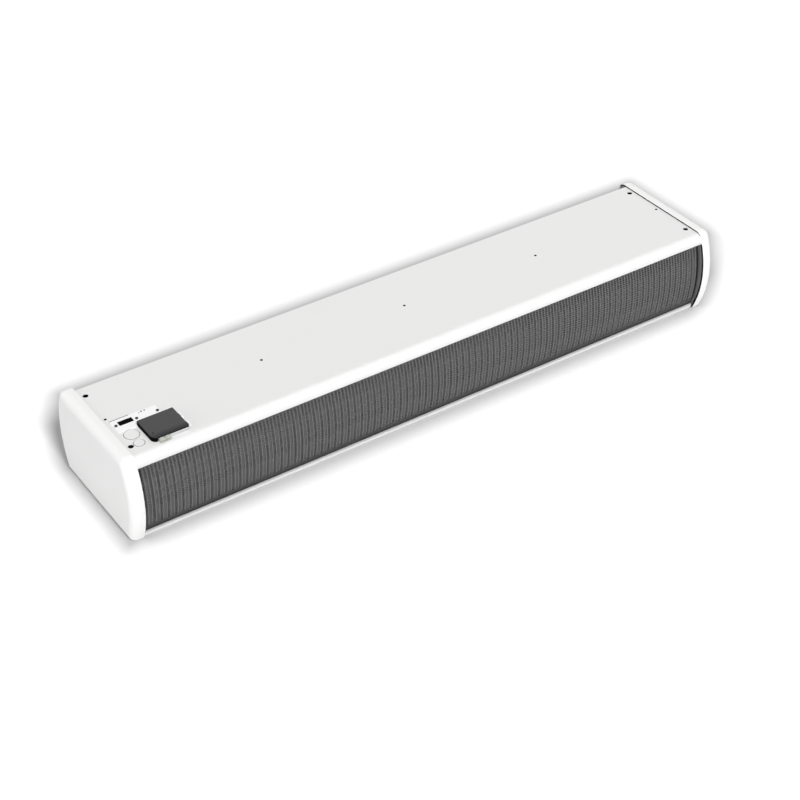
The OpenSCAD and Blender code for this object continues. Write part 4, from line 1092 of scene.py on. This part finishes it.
class AIRCURTAIN_OT_modular_plugs(Operator):
    """Models the two modular plugs with their cable opening, crimp pocket, latch and contacts"""

    bl_idname = "air_curtain.modular_plugs"
    bl_label = "Modular plugs"

    contacts: IntProperty(name="Contacts", description="Gold contacts in a plug", default=8, min=2)

    WIDTH, GAP, HEIGHT = 11.6 * MM, 1.2 * MM, 6.0 * MM  # of a plug, and the gap between the two
    THUMB_ROOM = 1.2 * MM  # ahead of a plug, for the thumb end of its latch
    OPENING = 11 * MM  # depth of the cable opening
    POCKET_HALF, POCKET_FRONT, POCKET_BACK, POCKET_DEPTH = 3 * MM, 3.0 * MM, 5.6 * MM, 1.0 * MM
    LATCH_HALF, LATCH_WALL, LATCH_RISE = 2.3 * MM, 0.8 * MM, 0.7 * MM  # its top is above the plug's
    LATCH_START, LATCH_END = 1.1 * MM, 4 * MM  # ahead of the plug, and short of its far end
    SINK_START, SINK = 5 * MM, 0.6 * MM  # where the latch's far end begins to lie lower, and how far
    SIDE_WALL = 1.5 * MM  # outside the outermost contacts
    CONTACT_LENGTH, CONTACT_LOW, CONTACT_HIGH = 6 * MM, 0.4 * MM, 3 * MM
    CONTACT_INSET = 0.3 * MM

    def body(self, sizes, low, high):
        """One plug: a block with a cable opening in its rear and a crimp pocket in its top."""
        plug = new_box("plug", low, high)
        with editing(plug):
            pick_facing((0, -1, 0))
            bpy.ops.mesh.inset(thickness=sizes.plug_wall)
            extrude(y=self.OPENING)
        middle = (low + high) / 2
        pocket = new_box(
            "pocket",
            (middle.x - self.POCKET_HALF, low.y + self.POCKET_FRONT, high.z - self.POCKET_DEPTH),
            (middle.x + self.POCKET_HALF, low.y + self.POCKET_BACK, high.z + OVER),
        )
        cut(plug, pocket)
        return soften(plug, 0.3 * MM)

    def latch(self, low, high, crown):
        """The springy latch on top, higher at its thumb end."""
        middle = (low.x + high.x) / 2
        lever = new_box(
            "latch", (middle - self.LATCH_HALF, low.y - self.LATCH_START, crown - self.LATCH_WALL),
            (middle + self.LATCH_HALF, high.y - self.LATCH_END, crown),
        )
        with editing(lever):
            pick(lambda point: point.y > low.y + self.SINK_START, "VERT")
            bpy.ops.transform.translate(value=(0, 0, -self.SINK))
        return soften(lever, 0.2 * MM)

    def contact_strips(self, low, high):
        """The contacts of one plug, side by side along its lower edge."""
        pitch = (self.WIDTH - 2 * self.SIDE_WALL) / self.contacts
        strips = []
        for contact in range(self.contacts):
            x = low.x + self.SIDE_WALL + (contact + 0.25) * pitch
            strip = new_box(
                "contact", (x, high.y - self.CONTACT_LENGTH, low.z + self.CONTACT_LOW),
                (x + pitch / 2, high.y - self.CONTACT_INSET, low.z + self.CONTACT_HIGH),
            )
            strips.append(modify(strip, "BEVEL", width=0.1 * MM, segments=1))
        return strips

    def execute(self, context):
        sizes = context.scene.air_curtain_sizes
        low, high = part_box("modular_plugs")
        roof = high.z - self.LATCH_RISE
        shells, strips = [], []
        for number in range(2):
            x0 = low.x + number * (self.WIDTH + self.GAP)
            plug_low = Vector((x0, low.y + self.THUMB_ROOM, roof - self.HEIGHT))
            plug_high = Vector((x0 + self.WIDTH, high.y, roof))
            shells += self.body(sizes, plug_low, plug_high), self.latch(plug_low, plug_high, high.z)
            strips += self.contact_strips(plug_low, plug_high)
        plugs = named(join(*shells), "modular_plug_pair")
        contacts = named(join(*strips), "plug_contacts")
        smooth(plugs)
        hand_over(plugs, "casing", "plug", finish_of("plug"), "modular_plugs")
        gold = metal("gold_flash", (0.75, 0.52, 0.18), roughness=0.25, streak=0.1)
        hand_over(contacts, "casing", "plug", gold)
        return {"FINISHED"}


# --- knock-outs and panel screws ---


class AIRCURTAIN_OT_panel_fittings(Operator):
    """Models the knock-outs, the panel screws, the cable sleeve, the dark strip of painted shade along
    the control plate's back edge, and the lenses
    """

    bl_idname = "air_curtain.panel_fittings"
    bl_label = "Knock-outs, screws, sleeve, gasket and lenses"

    # the knock-out's sloped edge is painted black: painted shade in the cut line round each disc
    edge: length("Sheared edge", 0.0009, "Width of the dark, sheared edge round a knock-out")
    head: length("Screw head", 0.0032, "Radius of a panel screw's head")

    BIG, SMALL = 34.0 * MM, 24.5 * MM  # diameters of the two knock-outs
    SHEAR = 0.8 * MM  # how far a knock-out's edge slopes down
    SCREWS = 5
    HEAD_RISE, HEAD_SUNK, SHANK_GAP = 1.1 * MM, 0.1 * MM, 0.2 * MM
    # half the length and half the width of each arm of a head's cross, and its floor above the panel
    ARM_LENGTH, ARM_WIDTH, ARM_FLOOR = 1.9 * MM, 0.45 * MM, 0.35 * MM
    # corners of the cable sleeve, from the control plate's front left corner and its top
    SLEEVE_LOW = Vector((13.2, 21.0, -16.0)) * MM
    SLEEVE_HIGH = Vector((44.8, 35.1, -0.3)) * MM
    SLEEVE_WALL = 1.0 * MM
    # the dark strip of painted shade along the plate's back edge: its length, how far it reaches in and
    # out from the edge, and its rise
    GASKET_LENGTH, GASKET_INSIDE, GASKET_OUTSIDE, GASKET_RISE = 44 * MM, 0.3 * MM, 1.3 * MM, 0.2 * MM
    # each indicator lens: its place along X, its distance from the plate's back edge, its radius
    LENSES = (
        (-673.8 * MM, 3.6 * MM, 1.8 * MM),
        (-666.3 * MM, 3.6 * MM, 1.7 * MM),
        (-680.2 * MM, 6.2 * MM, 1.2 * MM),
    )
    LENS_SUNK = 0.2 * MM

    def knockout(self, start, end, radius):
        """One disc, with an edge that slopes down into the cut line."""

        def on_rim(point):
            """The outermost ring of the disc's top."""
            from_middle = math.hypot(point.x - end.x, point.y - end.y)
            return point.z > end.z - NEAR and from_middle > radius - NEAR

        disc = new_rod("knockout", start, end, radius, 72)
        with editing(disc):
            pick_facing((0, 0, 1))
            bpy.ops.mesh.inset(thickness=self.edge)
            pick(on_rim, "VERT")
            bpy.ops.transform.translate(value=(0, 0, -self.SHEAR))
        return disc

    def knockouts(self):
        """Both discs, the bigger one behind the smaller one."""
        low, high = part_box("knockout_discs")
        big, small = self.BIG / 2, self.SMALL / 2
        x = low.x + big
        discs = []
        for radius, y in ((big, high.y - big), (small, low.y + small)):
            discs.append(self.knockout(Vector((x, y, low.z)), Vector((x, y, high.z)), radius))
        return named(join(*discs), "knockout_pair")

    def screws(self):
        """The screws along the panel: a domed head with a cross recess on a plain shank."""
        low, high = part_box("panel_screws")
        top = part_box("top_panel")[1].z
        y = (low.y + high.y) / 2
        end_gap = (high.y - low.y) / 2
        foot = top - self.HEAD_SUNK
        head = new_dome("head", (0, y, foot), (self.head, self.head, self.HEAD_RISE), foot, 28, 16)
        floor, ceiling = top + self.ARM_FLOOR, top + 2 * OVER
        for x_half, y_half in ((self.ARM_LENGTH, self.ARM_WIDTH), (self.ARM_WIDTH, self.ARM_LENGTH)):
            cut(head, new_box("slot", (-x_half, y - y_half, floor), (x_half, y + y_half, ceiling)))
        shank = new_rod("shank", (0, y, low.z), (0, y, top), end_gap - self.SHANK_GAP, 20)
        screw = join(head, shank)
        span = high.x - low.x - 2 * end_gap
        copies = []
        for number in range(self.SCREWS):
            place = (-span / 2 + span * number / (self.SCREWS - 1), 0, 0)
            copies.append(copied(screw, "panel_screw", place))
        bpy.data.objects.remove(screw)
        return named(join(*copies), "panel_screw_set")

    def sleeve(self):
        """The black sleeve that keeps cables off the edges of the control plate's opening."""
        low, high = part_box("control_plate")
        corner = Vector((low.x, low.y, high.z))
        sleeve = new_box("cable_sleeve", corner + self.SLEEVE_LOW, corner + self.SLEEVE_HIGH)
        with editing(sleeve):
            pick_facing((0, 0, -1), (0, 0, 1))
            bpy.ops.mesh.inset(thickness=self.SLEEVE_WALL)
            bpy.ops.mesh.bridge_edge_loops()
        return soften(sleeve, 0.25 * MM)

    def gasket(self):
        """A dark strip of painted shade along the left of the control plate's back edge."""
        low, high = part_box("control_plate")
        lip = new_box(
            "gasket_lip", (low.x, high.y - self.GASKET_INSIDE, low.z),
            (low.x + self.GASKET_LENGTH, high.y + self.GASKET_OUTSIDE, high.z + self.GASKET_RISE),
        )
        return soften(lip, 0.2 * MM)

    def lenses(self):
        """Three small dark indicator lenses near the control plate's back edge."""
        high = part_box("control_plate")[1]
        floor = high.z - self.LENS_SUNK
        made = []
        for x, back, radius in self.LENSES:
            made.append(new_dome("lens", (x, high.y - back, high.z), (radius,) * 3, floor, 20, 12))
        return named(join(*made), "indicator_lenses")

    def execute(self, context):
        dull = {"roughness": 0.8, "Specular_IOR_Level": 0.1}
        lining = coat("black_lining", (0.005, 0.005, 0.005), **dull)
        hand_over(smooth(self.sleeve()), "casing", "link", lining)
        # a dark strip in the rubber finish: painted shade along the control plate's back edge
        hand_over(smooth(self.gasket()), "casing", "rubber", finish_of("rubber"))
        hand_over(smooth(self.lenses()), "casing", "switch", finish_of("switch"))
        discs = smooth(self.knockouts(), math.radians(25))
        hand_over(discs, "casing", "casing", finish_of("casing"), "knockout_discs")
        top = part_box("knockout_discs")[1].z
        # painted shade: black on every face below the discs' tops, the sloped edge and the sides
        paint(discs, finish_of("socket"), lambda centre, normal: centre.z < top - NEAR)
        phosphated = coat("phosphated_steel", (0.012, 0.012, 0.013), **dull)
        hand_over(smooth(self.screws()), "casing", "dark_screw", phosphated, "panel_screws")
        return {"FINISHED"}


# --- finishes of the carried-over pieces ---


class AIRCURTAIN_OT_finish_parts(Operator):
    """Gives every carried-over part the finish of its material slot"""

    bl_idname = "air_curtain.finish_parts"
    bl_label = "Finish the parts"

    # black down the suspension holes as painted shade inside them, and white beside the cover, as in the
    # photograph
    REPAINTED = {"hanger_bushes": "dark_screw", "cover_hinge_base": "control_plate"}

    def execute(self, context):
        for part in frame["record"]["subparts"]:
            node = frame["nodes"][part["node"]]
            node.data.materials.clear()
            slot = self.REPAINTED.get(part["node"], part["material_slot"])
            node.data.materials.append(finish_of(slot))
        return {"FINISHED"}


# --- stage ---


class AIRCURTAIN_OT_stage(Operator):
    """Sets the white floor, the soft studio light and the camera"""

    bl_idname = "air_curtain.stage"
    bl_label = "Stage"

    lens: FloatProperty(
        name="Lens", description="Focal length for a 36 mm sensor", default=78.30, unit="CAMERA"
    )
    azimuth: angle("Azimuth", -34.24, "Turn of the camera round the part")
    elevation: angle("Elevation", 36.945, "Height angle of the camera")
    floor_size: length("Floor size", 60.0, "Side of the square floor")
    ambient: FloatProperty(name="Ambient", description="Level of the even light all round", default=0.20)
    floor_tone: FloatProperty(name="Floor tone", description="Lightness of the floor", default=0.90)
    floor_lift: FloatProperty(
        name="Floor lift", description="Light that the floor adds for whoever looks at it", default=0.19
    )
    # the painted shadow on the floor round the part: how far it reaches and how dark it is
    shade_reach: length("Shade reach", 0.058, "How far the floor's soft shade reaches past its outline")
    shade_depth: FloatProperty(
        name="Shade depth", description="How dark the soft shade on the floor is", default=0.49
    )

    CAMERA_PLACE = (-1.8440, -2.6895, 2.3977)
    CAMERA_ROLL = math.radians(-0.07)
    # each lamp: name, the direction that its light comes from, its strength and its angular size
    LAMPS = (
        ("overhead_light", (0.05, -0.10, 1.00), 0.66, 46.0),
        ("front_light", (-0.10, -0.70, 0.71), 2.30, 14.0),
        ("left_light", (-0.93, -0.12, 0.32), 0.50, 30.0),
    )
    # the part in three level sections, for the painted shadow on the floor: left, right, front, back,
    # height;
    # the left is a little way outside the part, and the right a little way inside it
    SECTIONS = (
        (-0.790, 0.777, -0.149, 0.147, 0.000),
        (-0.797, 0.783, -0.172, 0.155, 0.105),
        (-0.786, 0.771, -0.150, 0.131, 0.212),
    )
    INSIDE = Vector((0.1, 0.1))  # a point on the floor that lies inside the painted shadow's outline
    CORNER_POWER = 2.6  # how the distances past two edges add up at a corner: 2 is round
    FADE_POWER = 1.5  # how quickly the painted shadow fades at first
    GRAIN = 0.005  # how far the floor's tone varies each way

    def seen_directly(self, tree, place):
        """1 for camera, mirror and see-through rays, and 0 for the light that falls on things."""
        path = add(tree, "ShaderNodeLightPath", place).outputs
        x, y = place
        seen = maths(tree, "MAXIMUM", (path["Is Camera Ray"], path["Is Glossy Ray"]), (x + 200, y))
        return maths(tree, "MAXIMUM", (seen, path["Is Transmission Ray"]), (x + 400, y))

    def outline(self):
        """The edges of the painted shadow on the floor: the part's sections thrown onto the floor from
        the camera's place.
        """
        source = Vector(self.CAMERA_PLACE)
        points = []
        for left, right, front, back, height in self.SECTIONS:
            share = height / source.z
            for x, y in ((left, front), (left, back), (right, front), (right, back)):
                points.append((Vector((x, y)) - source.xy * share) / (1 - share))
        ring = [points[index] for index in convex_hull_2d(points)]
        return zip(ring, ring[1:] + ring[:1])

    def floor_shade(self, tree, place, seen):
        """Painted soft shadow that lies still on the floor round the part: deepest inside the outline,
        and fading over a short way outside it. It takes no light from the part."""
        total = 0.0
        for number, (start, end) in enumerate(self.outline()):
            outward = (end - start).orthogonal().normalized()
            if outward.dot(start - self.INSIDE) < 0:
                outward.negate()
            y = -120 * number
            reach = add(tree, "ShaderNodeVectorMath", (-2300, y), operation="DOT_PRODUCT")
            reach = fill(tree, reach, place, (*outward, 0)).outputs["Value"]
            past = maths(tree, "SUBTRACT", (reach, outward.dot(start)), (-2100, y))
            past = maths(tree, "MAXIMUM", (past, 0.0), (-1900, y))
            past = maths(tree, "POWER", (past, self.CORNER_POWER), (-1700, y))
            total = maths(tree, "ADD", (total, past), (-1500, y))
        furthest = maths(tree, "POWER", (total, 1 / self.CORNER_POWER), (-1400, -150))
        fade = spread(tree, furthest, 1.0, 0.0, (-1300, -150), top=self.shade_reach)
        curve = maths(tree, "POWER", (fade, self.FADE_POWER), (-1100, -150))
        shown = maths(tree, "MULTIPLY", (curve, seen), (-900, -150))
        return spread(tree, shown, 1.0, 1.0 - self.shade_depth, (-700, -150))

    def floor_material(self):
        """White floor that keeps the shadow and carries a painted shadow round the part; from below it
        isn't there.
        """
        material, tree, shader = new_material(
            "studio_floor", Roughness=1.0, Specular_IOR_Level=0.0, Emission_Color=(1, 1, 1, 1)
        )
        place = object_place(tree, (-900, 100))
        grain = add(tree, "ShaderNodeTexNoise", (-700, 100), Vector=place, Scale=30.0, Detail=2.0)
        low, high = self.floor_tone - self.GRAIN, self.floor_tone + self.GRAIN
        tone = spread(tree, grain.outputs["Fac"], low, high, (-500, 100))
        seen = self.seen_directly(tree, (-900, -400))
        shade = self.floor_shade(tree, place, seen)
        level = maths(tree, "MULTIPLY", (tone, shade), (-450, 0))
        white = add(tree, "ShaderNodeCombineColor", (-300, 100), Red=level, Green=level, Blue=level)
        feed(tree, white.outputs["Color"], shader.inputs["Base Color"])
        shown = maths(tree, "MULTIPLY", (seen, shade), (-350, -400))
        lift = maths(tree, "MULTIPLY", (shown, self.floor_lift), (-200, -400))
        feed(tree, lift, shader.inputs["Emission Strength"])
        clear = add(tree, "ShaderNodeBsdfTransparent", (300, -500)).outputs["BSDF"]
        from_below = add(tree, "ShaderNodeNewGeometry", (300, 300)).outputs["Backfacing"]
        choice = add(tree, "ShaderNodeMixShader", (650, 0))
        fill(tree, choice, from_below, shader.outputs["BSDF"], clear)
        end = tree.nodes["Material Output"]
        end.location = (900, 0)
        feed(tree, choice.outputs["Shader"], end.inputs["Surface"])
        return material

    def sky(self, scene):
        """Even white light, and a white background for all that looks at it."""
        world = bpy.data.worlds.new("studio")
        scene.world = world
        world.use_nodes = True
        tree = world.node_tree
        ground = tree.nodes["Background"]
        ground.inputs["Color"].default_value = (1, 1, 1, 1)
        seen = self.seen_directly(tree, (-900, 0))
        feed(tree, spread(tree, seen, self.ambient, 1.0, (-300, 0)), ground.inputs["Strength"])

    def execute(self, context):
        scene = context.scene
        deselect()
        bpy.ops.mesh.primitive_plane_add(size=self.floor_size, location=(0, 0, -0.2 * MM))
        floor = added("studio_floor")
        floor.data.materials.append(self.floor_material())
        for name, source, strength, width in self.LAMPS:
            bpy.ops.object.light_add(type="SUN", location=Vector(source) * 3)
            lamp = context.active_object
            lamp.name = name
            lamp.rotation_euler = Vector(source).to_track_quat("Z", "Y").to_euler()
            lamp.data.energy = strength
            lamp.data.angle = math.radians(width)
        self.sky(scene)
        bpy.ops.object.camera_add(location=self.CAMERA_PLACE)
        camera = context.active_object
        camera.name = "photo_camera"
        turn = Matrix.Rotation(self.azimuth, 4, "Z") @ Matrix.Rotation(QUARTER - self.elevation, 4, "X")
        turn = turn @ Matrix.Rotation(self.CAMERA_ROLL, 4, "Z")
        camera.matrix_world = Matrix.Translation(self.CAMERA_PLACE) @ turn
        camera.data.sensor_fit = "HORIZONTAL"
        camera.data.sensor_width = 36.0
        camera.data.lens = self.lens
        camera.data.clip_end = 200.0
        scene.camera = camera
        scene.view_settings.view_transform = "Standard"
        return {"FINISHED"}


class AIRCURTAIN_PT_sidebar(Panel):
    """Lists the steps that dress the air curtain"""

    bl_idname = "AIRCURTAIN_PT_sidebar"
    bl_label = "Air Curtain"
    bl_space_type = "VIEW_3D"
    bl_region_type = "UI"
    bl_category = "Air Curtain"

    def draw(self, context):
        layout = self.layout
        for step in STEPS:
            layout.operator(step.bl_idname)
        for group in (context.scene.air_curtain_sizes, context.scene.air_curtain_colours):
            column = layout.column()
            for key in group.__annotations__:
                column.prop(group, key)


STEPS = (
    AIRCURTAIN_OT_stage,
    AIRCURTAIN_OT_finish_parts,
    AIRCURTAIN_OT_end_caps,
    AIRCURTAIN_OT_intake_grille,
    AIRCURTAIN_OT_control_cover,
    AIRCURTAIN_OT_modular_plugs,
    AIRCURTAIN_OT_panel_fittings,
)
CLASSES = (AirCurtainSizes, AirCurtainColours, *STEPS, AIRCURTAIN_PT_sidebar)


def register():
    """Registers the classes and the scene's settings."""
    for item in CLASSES:
        bpy.utils.register_class(item)
    bpy.types.Scene.air_curtain_sizes = PointerProperty(type=AirCurtainSizes)
    bpy.types.Scene.air_curtain_colours = PointerProperty(type=AirCurtainColours)


def unregister():
    """Takes them out again."""
    del bpy.types.Scene.air_curtain_colours
    del bpy.types.Scene.air_curtain_sizes
    for item in reversed(CLASSES):
        bpy.utils.unregister_class(item)


def main():
    """Runs every step in order."""
    register()
    for step in STEPS:
        family, name = step.bl_idname.split(".")
        getattr(getattr(bpy.ops, family), name)()


if __name__ == "__main__":
    main()
